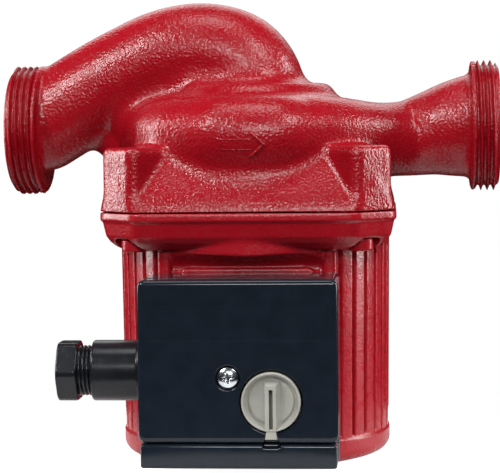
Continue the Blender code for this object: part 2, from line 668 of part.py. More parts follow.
def make_box_contents(looks):
    capacitor = turn_to(rod(8.3, -17, 19, 28), "X")
    shade(place("capacitor", shift(capacitor, 0, -54.5, 56), looks["label_foil"]))
    block = prism([(-31, 16), (-8.6, 16), (-8.6, 25.6), (-31, 25.6)], -57, -45.2, "Y")
    terminals = place("terminal_block", block, looks["cream_plastic"])
    centres = [-27.3 + 7.4 * i for i in range(3)]
    shade(cut(terminals, *(facing_rod(2.6, 52, 60, x, 20.8, 12) for x in centres)))
    for number, x in enumerate(centres, 1):
        shade(place(f"terminal_screw_{number}", facing_rod(2.2, 52.4, 56.4, x, 20.8, 12), looks["zinc"]))
    earth = turned([(0, 49.5), (3, 49.5), (3, 47.0), (0, 47.0)], 6)
    shade(place("earth_screw", shift(turn_to(shift(earth, 0, 0, -1.9), "-Y"), 26, 0, 42), looks["brass"]))
    for number, x in enumerate(BOX_SCREW_X, 1):
        screw = turned([(0, 47.2), (2.6, 47.2), (2.9, 45.1), (1.6, 45.1), (1.6, 40.2), (0, 40.2)], 12)
        shade(place(f"box_screw_{number}", shift(turn_to(screw, "-Y"), x, 0, BOX_SCREW_Z), looks["zinc"]))


def make_cover_screw(material):
    head = BOX_FRONT - 1.1
    screw = turned([(0, head + 1.6), (2.2, head + 1.4), (3.65, head + 0.5), (3.65, head), (1.75, head),
                    (1.75, 48.0),
                    (0, 48.0)], 16)
    shift(turn_to(screw, "-Y"), COVER_SCREW_X, 0, COVER_SCREW_Z)
    thing = place("cover_screw", screw, material)
    tip = head - 0.1
    cross = [prism([(COVER_SCREW_X - a, COVER_SCREW_Z - b), (COVER_SCREW_X + a, COVER_SCREW_Z - b),
                    (COVER_SCREW_X + a, COVER_SCREW_Z + b), (COVER_SCREW_X - a, COVER_SCREW_Z + b)],
                   -head - 3, -tip, "Y") for a, b in ((2.1, 0.45), (0.45, 2.1))]
    return cut(thing, *cross)


def make_cover_gasket(material):
    outer = box_outline(COVER_BOTTOM, BOX_TOP, 0.3, 2.2)
    inner = box_outline(COVER_BOTTOM, BOX_TOP, BOX_WALL + 0.2, 1.3)
    low, high = -(BOX_SPLIT + 1.6), -(BOX_SPLIT + GAP)
    mesh = hollow_prism(outer, inner, low, high)
    for vert in mesh.verts:
        vert.co = Vector((vert.co.x, vert.co.z, vert.co.y))
    bmesh.ops.reverse_faces(mesh, faces=mesh.faces)
    shade(place("cover_gasket", mesh, material))


def make_gland(looks):
    """The cable gland: a nut with a threaded neck, a pressure washer and a rubber seal in its collar."""
    nut = place("gland_nut",
                shift(turn_to(rod(8.35, GLAND_NUT[1] - 1, -46.0, 28), "X"), 0, GLAND_Y, GLAND_Z),
                looks["gland_plastic"])
    hexagon = [(GLAND_Y + x, GLAND_Z + z) for x, z in circle(10.4, 6, phase=math.radians(30))]
    join(nut, prism(hexagon, *GLAND_NUT, "X"))
    bore = turn_to(rod(CABLE_R, GLAND_NUT[0] - 2, -44, 20), "X")
    shade(cut(nut, shift(bore, 0, GLAND_Y, GLAND_Z)))
    for name, low, high, bore_r, look in (("gland_washer", -45.6, -44.8, CABLE_R, "zinc"),
                                          ("gland_seal", -44.4, -38.4, CABLE_R - 0.2, "rubber")):
        ring = turn_to(rod(8.3, low, high, 24, bore_r), "X")
        shade(place(name, shift(ring, 0, GLAND_Y, GLAND_Z), looks[look]))


# ---------------------------------------------------------------- assembly

def clear_scene():
    for thing in list(bpy.data.objects):
        bpy.data.objects.remove(thing)


def stand_on_axis():
    """Parent every piece to one empty on the motor's axis, which centres the pump's depth on Y = 0."""
    pieces = list(bpy.context.scene.collection.objects)
    axis = bpy.data.objects.new("motor_axis", None)
    bpy.context.scene.collection.objects.link(axis)
    axis.location = point(0, AXIS_Y, 0)
    for piece in pieces:
        piece.parent = axis


def main():
    clear_scene()
    looks = make_finishes()
    shade(make_pump_housing(looks["cast_paint"]))
    shade(make_motor_housing(looks["motor_paint"]))
    make_housing_screws(looks["motor_paint"])
    make_wet_rotor(looks)
    make_wet_end(looks)
    make_stator(looks)
    shade(make_box_base(looks["black_plastic"]))
    shade(make_box_cover(looks["black_plastic"]))
    make_cover_gasket(looks["rubber"])
    shade(make_cover_screw(looks["zinc"]))
    shade(make_knob(looks["knob_plastic"]))
    make_switch(looks)
    make_box_contents(looks)
    make_gland(looks)
    stand_on_axis()


main()
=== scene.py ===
"""Looks for the circulator pump: castings, box, knob, gland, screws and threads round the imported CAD."""
import math

import bpy
import numpy as np
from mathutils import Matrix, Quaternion, Vector
from mathutils.bvhtree import BVHTree

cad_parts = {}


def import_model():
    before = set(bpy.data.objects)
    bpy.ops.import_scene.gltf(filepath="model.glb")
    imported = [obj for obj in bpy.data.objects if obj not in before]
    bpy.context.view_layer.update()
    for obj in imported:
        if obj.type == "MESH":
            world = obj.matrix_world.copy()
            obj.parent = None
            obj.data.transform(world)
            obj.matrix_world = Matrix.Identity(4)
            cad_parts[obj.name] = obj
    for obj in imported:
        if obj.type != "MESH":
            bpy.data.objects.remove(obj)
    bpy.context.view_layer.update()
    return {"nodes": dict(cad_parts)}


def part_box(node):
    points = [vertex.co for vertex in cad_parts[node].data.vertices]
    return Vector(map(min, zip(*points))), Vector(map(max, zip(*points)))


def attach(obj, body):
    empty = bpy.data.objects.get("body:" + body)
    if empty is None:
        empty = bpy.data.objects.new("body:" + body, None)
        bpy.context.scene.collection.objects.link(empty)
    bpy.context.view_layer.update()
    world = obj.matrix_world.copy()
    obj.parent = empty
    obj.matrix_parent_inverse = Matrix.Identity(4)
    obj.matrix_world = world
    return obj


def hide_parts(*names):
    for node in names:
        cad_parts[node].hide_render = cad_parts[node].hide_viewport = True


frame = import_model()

MM = 0.001
BODY = "pump_body"
SELECTOR = "speed_selector"
X, Y, Z = 0, 1, 2             # the axes that round shapes lie along
PAST = 3.0                    # how far a cut runs past the face that it opens


# -------------------- the frame, in millimetres from the motor's axis

def node_box(name):
    """A CAD node's low and high corners, in millimetres from the motor's axis."""
    low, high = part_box(name)
    return (np.array(low) - AXIS) / MM, (np.array(high) - AXIS) / MM


shaft_low, shaft_high = (np.array(corner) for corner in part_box("shaft"))
AXIS = np.array([*(0.5 * (shaft_low + shaft_high))[:2], 0.0])
HOUSING_LOW, HOUSING_HIGH = node_box("pump_housing")
BASE_LOW, BASE_HIGH = node_box("terminal_box_base")
COVER_LOW, COVER_HIGH = node_box("terminal_box_cover")
KNOB_LOW, KNOB_HIGH = node_box("selector_knob")
SCREW_LOW, SCREW_HIGH = node_box("cover_screw")
NUT_LOW, NUT_HIGH = node_box("gland_nut")
JOINT_Z = HOUSING_LOW[2]
PORT_Z = JOINT_Z + 29.0
PORT_FACE = HOUSING_HIGH[0]
PORT_R = 23.9
THREAD_PITCH = 2.309
THREAD_DEPTH = 1.9
ROOT_R = PORT_R - THREAD_DEPTH
BORE_R = 16.0
FLANGE_HALF = HOUSING_HIGH[1]
FLANGE_CHAMFER = 14.0
FLANGE_DIAGONAL = (2 * FLANGE_HALF - FLANGE_CHAMFER) / math.sqrt(2)
CORNERS = [(x, y) for x in (-1, 1) for y in (-1, 1)]
SCREW_OFFSET = 40.0           # of a flange screw from the motor's axis, along x and along y
SCREW_HOLE_R = 3.0


# -------------------- distance fields

FAR = 60.0                    # the distance that an empty grid holds everywhere
MARGIN = 2.5                  # how far beyond its blend a shape's distances are worked out


def blended_min(a, b, blend):
    """The smaller of two distances, with a fillet of about the blend's size where they meet."""
    if blend <= 0:
        return np.minimum(a, b)
    share = np.clip(0.5 + 0.5 * (b - a) / blend, 0, 1)
    return b + (a - b) * share - blend * share * (1 - share)


def blended_max(a, b, blend):
    return -blended_min(-a, -b, blend)


def rounded(a, b, radius):
    """The distance to what lies inside both of two distances, with a round edge where they meet."""
    a, b = a + radius, b + radius
    return np.sqrt(np.maximum(a, 0) ** 2 + np.maximum(b, 0) ** 2) + np.minimum(np.maximum(a, b), 0) - radius


class Grid:
    """Distances to a growing shape at the points of a grid whose three axes may be unevenly spaced."""

    def __init__(self, xs, ys, zs):
        self.axes = [np.asarray(axis, np.float32) for axis in (xs, ys, zs)]
        self.field = np.full([len(axis) for axis in self.axes], FAR, np.float32)

    def window(self, low, high, margin):
        """The part of the grid within a margin of a box: its slices and its x, y and z."""
        cuts = []
        for axis, a, b in zip(self.axes, low, high):
            start, end = np.searchsorted(axis, (a - margin, b + margin))
            cuts.append(slice(max(start - 1, 0), end + 1))
        x, y, z = (axis[part] for axis, part in zip(self.axes, cuts))
        return tuple(cuts), x[:, None, None], y[None, :, None], z[None, None, :]

    def add(self, shape, blend=0.0):
        low, high, distance = shape
        cuts, x, y, z = self.window(low, high, blend + MARGIN)
        self.field[cuts] = blended_min(self.field[cuts], distance(x, y, z), blend)

    def cut(self, shape, blend=0.0):
        low, high, distance = shape
        cuts, x, y, z = self.window(low, high, blend + MARGIN)
        self.field[cuts] = blended_max(self.field[cuts], -distance(x, y, z), blend)


def spaced(low, high, step):
    return np.linspace(low, high, max(int(round((high - low) / step)) + 1, 2))


def even_grid(low, high, step):
    """A grid with the same step everywhere, over a box and a little more on each side."""
    room = 1.5 * step
    return Grid(*(spaced(a - room, b + room, step) for a, b in zip(low, high)))


def round_box(low, high, radius):
    """A box with round edges."""
    middle, half = (np.array(low) + high) / 2, (np.array(high) - low) / 2 - radius

    def distance(x, y, z):
        qx, qy, qz = (abs(v - m) - h for v, m, h in zip((x, y, z), middle, half))
        outside = np.sqrt(np.maximum(qx, 0) ** 2 + np.maximum(qy, 0) ** 2 + np.maximum(qz, 0) ** 2)
        return outside + np.minimum(np.maximum(np.maximum(qx, qy), qz), 0) - radius
    return low, high, distance


def turned_round(axis, centre, start, end, radius, edge=0.0, end_radius=None):
    """A cylinder or cone along an axis from start to end, with round edges."""
    end_radius = radius if end_radius is None else end_radius
    most = max(radius, end_radius)
    low, high = np.array(centre, float) - most, np.array(centre, float) + most
    low[axis], high[axis] = start, end
    others = [i for i in range(3) if i != axis]
    half = (end - start) / 2

    def distance(x, y, z):
        at = (x, y, z)
        out = np.sqrt((at[others[0]] - centre[others[0]]) ** 2 + (at[others[1]] - centre[others[1]]) ** 2)
        share = np.clip((at[axis] - start) / (end - start), 0, 1)
        side = out - (radius + (end_radius - radius) * share)
        return rounded(side, abs(at[axis] - (start + end) / 2) - half, edge)
    return low, high, distance


def tube(path, thinner=0.0):
    """A round bar through x, y, z, radius rows."""
    path = np.array(path, np.float32)
    most = path[:, 3].max()
    low, high = path[:, :3].min(axis=0) - most, path[:, :3].max(axis=0) + most

    def distance(x, y, z):
        nearest = None
        for a, b in zip(path, path[1:]):
            run = b[:3] - a[:3]
            dx, dy, dz = x - a[0], y - a[1], z - a[2]
            t = np.clip((dx * run[0] + dy * run[1] + dz * run[2]) / (run @ run), 0, 1)
            apart = np.sqrt((dx - t * run[0]) ** 2 + (dy - t * run[1]) ** 2 + (dz - t * run[2]) ** 2)
            here = apart - (a[3] + t * (b[3] - a[3]) - thinner)
            nearest = here if nearest is None else np.minimum(nearest, here)
        return nearest
    return low, high, distance


def hex_bar(axis, centre, start, end, half_width, edge=0.0):
    """A bar with six flats along an axis."""
    reach = half_width / math.cos(math.pi / 6)
    low, high = np.array(centre, float) - reach, np.array(centre, float) + reach
    low[axis], high[axis] = start, end
    others = [i for i in range(3) if i != axis]

    def distance(x, y, z):
        at = (x, y, z)
        a, b = at[others[0]] - centre[others[0]], at[others[1]] - centre[others[1]]
        slant = a * math.sin(math.pi / 3)
        flats = np.maximum(abs(b), np.maximum(abs(slant + b / 2), abs(slant - b / 2))) - half_width
        return blended_max(flats, np.maximum(start - at[axis], at[axis] - end), edge)
    return low, high, distance


def plate(low, high, corner, edge):
    """A block with round corners seen from the front, and a round edge round its front face."""
    low, high = np.array(low, float), np.array(high, float)
    middle, half = (low + high) / 2, (high - low) / 2

    def distance(x, y, z):
        outline = rounded(abs(x - middle[0]) - half[0], abs(z - middle[2]) - half[2], corner)
        return np.maximum(rounded(outline, low[1] - y, edge), y - high[1])
    return low, high, distance


def smooth_path(points, steps=5):
    """Catmull-Rom rows through a list of rows."""
    points = np.array(points, float)
    padded = np.vstack([points[:1], points, points[-1:]])
    rows = []
    for a, b, c, d in zip(padded, padded[1:], padded[2:], padded[3:]):
        for t in np.arange(steps) / steps:
            rows.append(0.5 * (2 * b + (c - a) * t + (2 * a - 5 * b + 4 * c - d) * t * t
                               + (3 * b - a - 3 * c + d) * t ** 3))
    return np.array([*rows, points[-1]])


# -------------------- from distances to meshes

def crossings(field, axes):
    """Surface points, one in each cell that the surface passes through, and each cell's number."""
    inside = field < 0
    count = np.zeros([n - 1 for n in field.shape], np.int8)
    corners = [(i, j, k) for i in (0, 1) for j in (0, 1) for k in (0, 1)]
    for i, j, k in corners:
        count += inside[i:field.shape[0] - 1 + i, j:field.shape[1] - 1 + j, k:field.shape[2] - 1 + k]
    cells = np.argwhere((count > 0) & (count < 8))
    number = np.full(count.shape, -1, np.int64)
    number[tuple(cells.T)] = np.arange(len(cells))
    total, hits = np.zeros((len(cells), 3)), np.zeros(len(cells))
    for start in corners:
        for axis in range(3):
            if start[axis]:
                continue
            end = np.array(start)
            end[axis] = 1
            a, b = cells + start, cells + end
            fa, fb = field[tuple(a.T)], field[tuple(b.T)]
            hit = (fa < 0) != (fb < 0)
            share = np.where(hit, fa / np.where(hit, fa - fb, 1), 0)
            for i in range(3):
                pa, pb = axes[i][a[:, i]], axes[i][b[:, i]]
                total[:, i] += np.where(hit, pa + share * (pb - pa), 0)
            hits += hit
    return total / hits[:, None], number


def surface_quads(field, number):
    """The four cells round each grid edge that crosses the surface, turned so that the faces point out."""
    inside = field < 0
    quads = []
    for axis in range(3):
        a, b = (axis + 1) % 3, (axis + 2) % 3
        ahead = [slice(None)] * 3
        behind = [slice(None)] * 3
        ahead[axis], behind[axis] = slice(1, None), slice(None, -1)
        change = inside[tuple(behind)].astype(np.int8) - inside[tuple(ahead)]
        for i in (a, b):
            edge = [slice(None)] * 3
            for end in (0, -1):
                edge[i] = end
                change[tuple(edge)] = 0
        at = np.argwhere(change != 0)
        out = change[tuple(at.T)] > 0
        ring = []
        for da, db in ((-1, -1), (0, -1), (0, 0), (-1, 0)):
            cell = at.copy()
            cell[:, a] += da
            cell[:, b] += db
            ring.append(number[tuple(cell.T)])
        ring = np.stack(ring, axis=1)
        ring[~out] = ring[~out][:, ::-1]
        quads.append(ring)
    return np.vstack(quads)


def mesh_from(name, points, quads):
    """A smooth mesh from points in millimetres from the motor's axis."""
    data = bpy.data.meshes.new(name)
    points = points * MM + AXIS
    data.vertices.add(len(points))
    data.vertices.foreach_set("co", points.astype(np.float32).ravel())
    data.loops.add(quads.size)
    data.loops.foreach_set("vertex_index", quads.astype(np.int32).ravel())
    data.polygons.add(len(quads))
    data.polygons.foreach_set("loop_start", np.arange(0, quads.size, quads.shape[1], dtype=np.int32))
    data.update(calc_edges=True)
    data.validate()
    data.shade_smooth()
    return data


def skin(name, grid):
    points, number = crossings(grid.field, grid.axes)
    return mesh_from(name, points, surface_quads(grid.field, number))


def show(name, data, material, body=BODY, stands_for=()):
    """Put a mesh in the scene as a piece that rides on a body."""
    data.materials.append(material)
    piece = bpy.data.objects.new(name, data)
    bpy.context.scene.collection.objects.link(piece)
    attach(piece, body)
    if stands_for:
        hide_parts(*stands_for)
    return piece


# -------------------- pump housing

WALL = 4.0
CHAMBER_R = 34.0              # where the impeller turns
RECESS_R = 44.0               # the recess at the joint
EYE_R = 17.8                  # the opening from the suction duct to the impeller
DUCT_R = 13.4                 # the bore's radius behind a port's taper
LEAN = math.atan(0.64)        # of the casting's four walls
LEAN_START = JOINT_Z + 2.5
BLOCK_TOP = JOINT_Z + 22.4
POST_TOP = JOINT_Z + 22.6
POST_START = 18.0             # a corner post starts this far from the axis, inside the volute
POST_HALF_WIDTH = 9.5
POST_CORNER_R = 3.8
VOLUTE_FOOT = JOINT_Z + 6     # the volute's turned shapes start here, inside the base
SCROLL_ANGLES = (math.radians(-50), math.radians(285))
# Rows of the ducts' paths: x, y where it isn't 0, height over PORT_Z and radius.
SUCTION = [(-79, 2.0, 17.2), (-69, 8.3, 17.4), (-58, 15, 17.3), (-46, 21.1, 17.5),
           (-32, 26.6, 18.0), (-18, 28, 18.4), (-6, 24.2, 18.7), (0.2, 15, 18.8), (0.5, 6, 17.0)]
WEB = [(-50, -4, 9.0), (-40, 3, 15.0), (-22, 9, 18.0), (-8, 10, 18.0)]
DISCHARGE = [(24, -28, -2.6, 13.0), (36, -19, -3.6, 13.0), (47, -8, -4.7, 13.4), (57, -1.5, -4.4, 13.9),
             (67, 0, -2.4, 15.6), (75, 0, -1.0, 17.6), (82, 0, 0, 19.0)]
PORTS = ((-1, 10.3, "inlet_port_thread"), (1, 9.0, "outlet_port_thread"))    # side, thread's length, name
THREAD_SIDES = 160
ARROW_Z = JOINT_Z + 23.3
ARROW_TAIL, ARROW_NECK, ARROW_TIP = -8.0, 2.6, 6.9
ARROW_HALF_SHAFT, ARROW_HALF_HEAD = 1.8, 4.0
SHAFT_STROKE = 0.2
HEAD_STROKE = 0.55


def suction_path():
    """Over the top and down into the impeller's eye."""
    return smooth_path([(x, 0.0, PORT_Z + z, r) for x, z, r in SUCTION])


def scroll_path(turns=24):
    """Round the impeller, a little wider and further out all the way."""
    path = []
    for share in np.linspace(0, 1, turns + 1):
        angle = SCROLL_ANGLES[0] + (SCROLL_ANGLES[1] - SCROLL_ANGLES[0]) * share
        radius = 34.5 + 2.5 * share
        path.append((radius * math.cos(angle), radius * math.sin(angle), PORT_Z - 2.5, 12.0 + 1.0 * share))
    return path


def discharge_path():
    """From the scroll's end to the outlet."""
    rows = [scroll_path(12)[-2], scroll_path(12)[-1], *((x, y, PORT_Z + z, r) for x, y, z, r in DISCHARGE)]
    return smooth_path(rows, 4)


def leaning_block():
    """The casting's base: four walls that lean back from the flange, with a flat top inside the volute."""
    low = (-FLANGE_HALF, -FLANGE_HALF, JOINT_Z)
    high = (FLANGE_HALF, FLANGE_HALF, BLOCK_TOP)

    def distance(x, y, z):
        lean = (z - LEAN_START) * math.sin(LEAN)
        upright = FLANGE_HALF - 0.3
        leaning_x, leaning_y = ((abs(v) - upright) * math.cos(LEAN) + lean for v in (x, y))
        walls = blended_max(leaning_x, leaning_y, 2.0)
        chamfers = (abs(x) + abs(y)) / math.sqrt(2) - FLANGE_DIAGONAL
        plumb = np.maximum(np.maximum(abs(x), abs(y)) - upright, chamfers)
        return blended_max(blended_max(walls, plumb, 2.5), z - BLOCK_TOP, 4.0)
    return low, high, distance


def corner_post(sx, sy):
    """The upright slab with round corners on one diagonal of the flange, which holds a screw's thread."""
    reach = FLANGE_DIAGONAL / math.sqrt(2) + 7
    inner, outer = POST_START * np.array((sx, sy)), reach * np.array((sx, sy))
    low, high = (*np.minimum(inner, outer), JOINT_Z), (*np.maximum(inner, outer), POST_TOP)

    def distance(x, y, z):
        along = (sx * x + sy * y) / math.sqrt(2) - FLANGE_DIAGONAL
        across = abs(sx * x - sy * y) / math.sqrt(2) - POST_HALF_WIDTH
        return blended_max(rounded(along, across, POST_CORNER_R), z - POST_TOP, 2.6)
    return low, high, distance


def under_joint():
    """Everything below the joint's plane, which leaves the casting's flat face."""
    low, high = (-PORT_FACE, -FLANGE_HALF, JOINT_Z - 3), (PORT_FACE, FLANGE_HALF, JOINT_Z + 1)
    return low, high, lambda x, y, z: z - JOINT_Z


def on_port(side, outer, inner, radius, inner_radius=None, edge=0.0):
    """A cylinder or cone on a port's axis, between two distances from the motor's axis."""
    ends = ((side * outer, radius), (side * inner, radius if inner_radius is None else inner_radius))
    (start, start_radius), (end, end_radius) = sorted(ends)
    return turned_round(X, (0, 0, PORT_Z), start, end, start_radius, edge, end_radius)


def add_volute(grid):
    """The bowl, the scroll, the two steps of the lid and the ducts, each blended into those before it."""
    centre = (0, 0, 0)
    grid.add(turned_round(Z, centre, VOLUTE_FOOT, PORT_Z + 2, 47.6, edge=3.0))
    grid.add(tube(scroll_path()), blend=3.5)
    grid.add(turned_round(Z, centre, VOLUTE_FOOT, PORT_Z + 10.6, 36.0, edge=1.6), blend=2.0)
    grid.add(turned_round(Z, centre, PORT_Z + 7, PORT_Z + 16.2, 35.0, edge=1.8, end_radius=27.8), blend=2.0)
    grid.add(tube([(x, 0, PORT_Z + z, r) for x, z, r in WEB]), blend=5.0)
    grid.add(tube(discharge_path()), blend=5.0)
    grid.add(tube(suction_path()), blend=5.5)


def cut_waterway(grid):
    """The recess at the joint, the impeller's chamber and eye, the scroll, the ducts and the ports."""
    centre = (0, 0, 0)
    grid.cut(turned_round(Z, centre, JOINT_Z - 4, JOINT_Z + 4.7, RECESS_R))
    grid.cut(turned_round(Z, centre, JOINT_Z, PORT_Z - 15, 38.0, end_radius=CHAMBER_R))
    grid.cut(turned_round(Z, centre, PORT_Z - 16, PORT_Z + 1.5, CHAMBER_R))
    grid.cut(turned_round(Z, centre, PORT_Z, PORT_Z + 4.6, EYE_R))
    for path in (scroll_path(), discharge_path(), suction_path()):
        grid.cut(tube(path, thinner=WALL))
    for side, _, _ in PORTS:
        grid.cut(on_port(side, PORT_FACE + PAST, PORT_FACE - 4, PORT_R))
        grid.cut(on_port(side, PORT_FACE + PAST, PORT_FACE - 6, BORE_R))
        grid.cut(on_port(side, PORT_FACE - 6, PORT_FACE - 14, BORE_R, DUCT_R))


def pump_housing(material):
    """The cast volute on its square base. The port ends past its necks are the thread pieces."""
    xs = spaced(-PORT_FACE - 1.5, PORT_FACE + 1.5, 1.0)
    ys = spaced(-FLANGE_HALF - 1.5, FLANGE_HALF + 1.5, 1.0)
    zs = np.concatenate([[JOINT_Z - 1], np.arange(JOINT_Z - 0.26, JOINT_Z + 1, 0.25),
                         spaced(JOINT_Z + 1.4, HOUSING_HIGH[2] + 2, 1.0)])
    grid = Grid(xs, ys, zs)
    add_volute(grid)
    grid.add(leaning_block(), blend=3.6)
    for x, y in CORNERS:
        grid.add(corner_post(x, y), blend=1.6)
    for side, length, _ in PORTS:
        rim = PORT_FACE - length
        grid.add(on_port(side, rim + 0.6, rim - 1.2, PORT_R - 0.2, edge=0.5), blend=2.6)
        grid.add(on_port(side, rim + 1.6, rim - 1, ROOT_R - 1.2, edge=0.4), blend=0.5)
    for x, y in CORNERS:
        centre = (x * SCREW_OFFSET, y * SCREW_OFFSET, 0)
        grid.cut(turned_round(Z, centre, JOINT_Z - 4, JOINT_Z + 18.3, SCREW_HOLE_R))
    cut_waterway(grid)
    grid.cut(under_joint())
    data = skin("cast_housing", grid)
    return show("cast_housing", data, material, stands_for=["pump_housing"])


def thread_mesh(name, side, length):
    """A port's end: the thread outside, the flat face and the bore, as one closed ring."""
    face, back = PORT_FACE, PORT_FACE - length - 1.2
    xs = spaced(back, face - 0.9, 0.165)
    angles = np.linspace(0, math.tau, THREAD_SIDES, endpoint=False)
    x, angle = np.meshgrid(xs, angles)
    phase = (side * x / THREAD_PITCH - angle / math.tau) % 1.0
    wave = np.clip(1.08 - 1.5 * abs(2 * phase - 1), 0, 1)
    fade = np.clip((x - back) / THREAD_PITCH, 0, 1) * np.clip((face - x) / 1.6 + 0.25, 0, 1)
    radius = ROOT_R + (PORT_R - ROOT_R) * wave * fade
    rings = [(xs[i], radius[:, i]) for i in range(len(xs))]
    end = [(face - 0.25, ROOT_R - 0.35), (face, ROOT_R - 0.8), (face, BORE_R + 0.6),
           (face - 0.15, BORE_R + 0.15), (face - 0.6, BORE_R), (back, BORE_R)]
    rings += [(at, np.full(THREAD_SIDES, r)) for at, r in end]
    across, up = np.cos(angles), np.sin(angles)
    points = [np.stack([np.full(THREAD_SIDES, side * at), r * across, PORT_Z + r * up], axis=1)
              for at, r in rings]
    count = len(rings)
    i, j = (part.ravel() for part in np.meshgrid(np.arange(count), np.arange(THREAD_SIDES), indexing="ij"))
    here, following = i * THREAD_SIDES, (i + 1) % count * THREAD_SIDES
    beside = (j + 1) % THREAD_SIDES
    quads = np.stack([here + j, following + j, following + beside, here + beside], axis=1)
    if side > 0:
        quads = quads[:, ::-1]
    return mesh_from(name, np.concatenate(points), quads)


def port_threads(material):
    for side, length, name in PORTS:
        show(name, thread_mesh(name, side, length), material, stands_for=["pump_housing"])


def flow_arrow(housing, material):
    """A raised arrow outline on the front of the scroll, laid on the casting's surface."""
    tree = BVHTree.FromObject(housing, bpy.context.evaluated_depsgraph_get())

    def on_casting(x, z):
        start = Vector(np.array([x, -FLANGE_HALF - 40, z]) * MM + AXIS)
        hit = tree.ray_cast(start, Vector((0, 1, 0)))[0]
        return (np.array(hit) - AXIS) / MM

    under, over = ARROW_Z - ARROW_HALF_SHAFT, ARROW_Z + ARROW_HALF_SHAFT
    shaft = [(ARROW_NECK, under), (ARROW_TAIL, under), (ARROW_TAIL, over), (ARROW_NECK, over)]
    low_barb, high_barb = ARROW_Z - ARROW_HALF_HEAD, ARROW_Z + ARROW_HALF_HEAD
    head = [(ARROW_NECK, low_barb), (ARROW_TIP, ARROW_Z), (ARROW_NECK, high_barb)]
    grid = even_grid((ARROW_TAIL - 1.5, HOUSING_LOW[1], ARROW_Z - 5),
                     (ARROW_TIP + 1.2, HOUSING_LOW[1] + 8, ARROW_Z + 5), 0.14)
    shares = np.linspace(0, 1, 9)
    for outline, stroke in ((shaft, SHAFT_STROKE), (head, HEAD_STROKE)):
        for start, end in zip(outline, outline[1:]):
            rows = [on_casting(*(np.array(start) * (1 - s) + np.array(end) * s)) for s in shares]
            grid.add(tube([(*row, stroke) for row in rows]), blend=0.1)
    show("flow_arrow", skin("flow_arrow", grid), material, stands_for=["pump_housing"])


# -------------------- motor housing

EDGE_BAND = (86.4, JOINT_Z - 0.4)
SKIRT_LOW = 77.0
FLAT_FRONT = 39.8
PAD_FRONT = 42.2
GROOVES = 37
GROOVE_START = math.radians(41)
GROOVE_ENDS = (9.5, 76.5)
GROOVE_DEPTH = 1.6
GROOVE_HALF_WIDTH = 0.62
MOTOR_BORE_R = 39.4
POCKET_R = 6.4
FOOT_R, DRAFT, DRAFT_HEIGHT = 49.2, 0.7, 69.5    # the barrel's radius at its foot, and what it gains
FOOT_BAND = 0.45              # how far the plain band under the grooves stands out
FOOT_EDGE = 4.2
BROW_Z, BROW_RISE = 74.4, 0.0062                 # the top of the flat in front, and its curve in 1/mm
BOWL_FOOT = 69.6
RIB_X, RIB_HALF = 29, 2.5     # the upright ribs beside the flat
CABLE_HOLE = (24, 0, 18)      # between the motor and the box
CABLE_HOLE_R = 5.0
BOX_SCREWS = ((-27, 0, 58), (25, 0, 58))
BOX_SCREW_R = 1.9


def motor_radius(z):
    return FOOT_R + DRAFT * np.clip((z - GROOVE_ENDS[0]) / DRAFT_HEIGHT, 0, 1)


def motor_barrel():
    """The motor's round body, drafted, with a round bottom edge."""
    low, high = (-50, -50, 0), (50, 50, 80)

    def distance(x, y, z):
        out = np.sqrt(x * x + y * y)
        band = FOOT_BAND * np.clip((GROOVE_ENDS[0] - 1.0 - z) / 0.5, 0, 1)
        side = out - motor_radius(z) - band
        return np.maximum(rounded(side, -z, FOOT_EDGE), z - 82)
    return low, high, distance


def groove_cuts():
    """All the grooves at once, from the direction of each point round the axis."""
    low, high = (-50.5, -50.5, GROOVE_ENDS[0]), (50.5, 50.5, GROOVE_ENDS[1])
    step = (math.tau - 2 * GROOVE_START) / (GROOVES - 1)

    def distance(x, y, z):
        out = np.sqrt(x * x + y * y)
        turn = np.arctan2(x, -y) % math.tau
        number = np.clip(np.round((turn - GROOVE_START) / step), 0, GROOVES - 1)
        aside = abs(turn - GROOVE_START - number * step) * out
        deep = motor_radius(z) - GROOVE_DEPTH - out
        ends = np.maximum(GROOVE_ENDS[0] - z, z - GROOVE_ENDS[1])
        flare = 0.12 * np.maximum(-deep - 0.8, 0)
        return np.maximum(np.maximum(aside - GROOVE_HALF_WIDTH - flare, deep), ends)
    return low, high, distance


def skirt():
    """The flange under the joint, whose underside slopes in to the motor."""
    low, high = (-FLANGE_HALF, -FLANGE_HALF, SKIRT_LOW - 1), (FLANGE_HALF, FLANGE_HALF, EDGE_BAND[1])
    heights = np.array([SKIRT_LOW - 0.4, 77.6, 79.2, 81.2, EDGE_BAND[0], EDGE_BAND[0] + 0.25, JOINT_Z])
    insets = np.array([7.0, 5.2, 3.3, 1.9, 0.75, 0.0, 0.0])

    def distance(x, y, z):
        inset = np.interp(z, heights, insets).astype(np.float32)
        half = FLANGE_HALF - inset
        sides = blended_max(abs(x) - half, abs(y) - half, 1.2)
        corners = (abs(x) + abs(y)) / math.sqrt(2) - FLANGE_DIAGONAL + inset
        outline = blended_max(sides, corners, 2.4)
        levels = np.maximum(z - EDGE_BAND[1], SKIRT_LOW - 0.4 - z)
        return blended_max(outline, levels, 0.5)
    return low, high, distance


def bowl_over_flat():
    """What is cut away in front of the flat, with a curved top that runs up into the skirt."""
    low, high = (-31, -56, -2), (31, -FLAT_FRONT, SKIRT_LOW + 4)

    def distance(x, y, z):
        sides = abs(x) - 26.8
        brow = BROW_Z + BROW_RISE * x * x
        share = np.clip((z - BOWL_FOOT) / (brow - BOWL_FOOT), 0, 1)
        cove = 1.9 * np.clip((72.0 - z) / 5.0, 0, 1) ** 2
        bowl = FLAT_FRONT + 9.0 * share ** 1.6 + cove + y
        return blended_max(blended_max(bowl, sides, 1.2), z - brow, 0.6)
    return low, high, distance


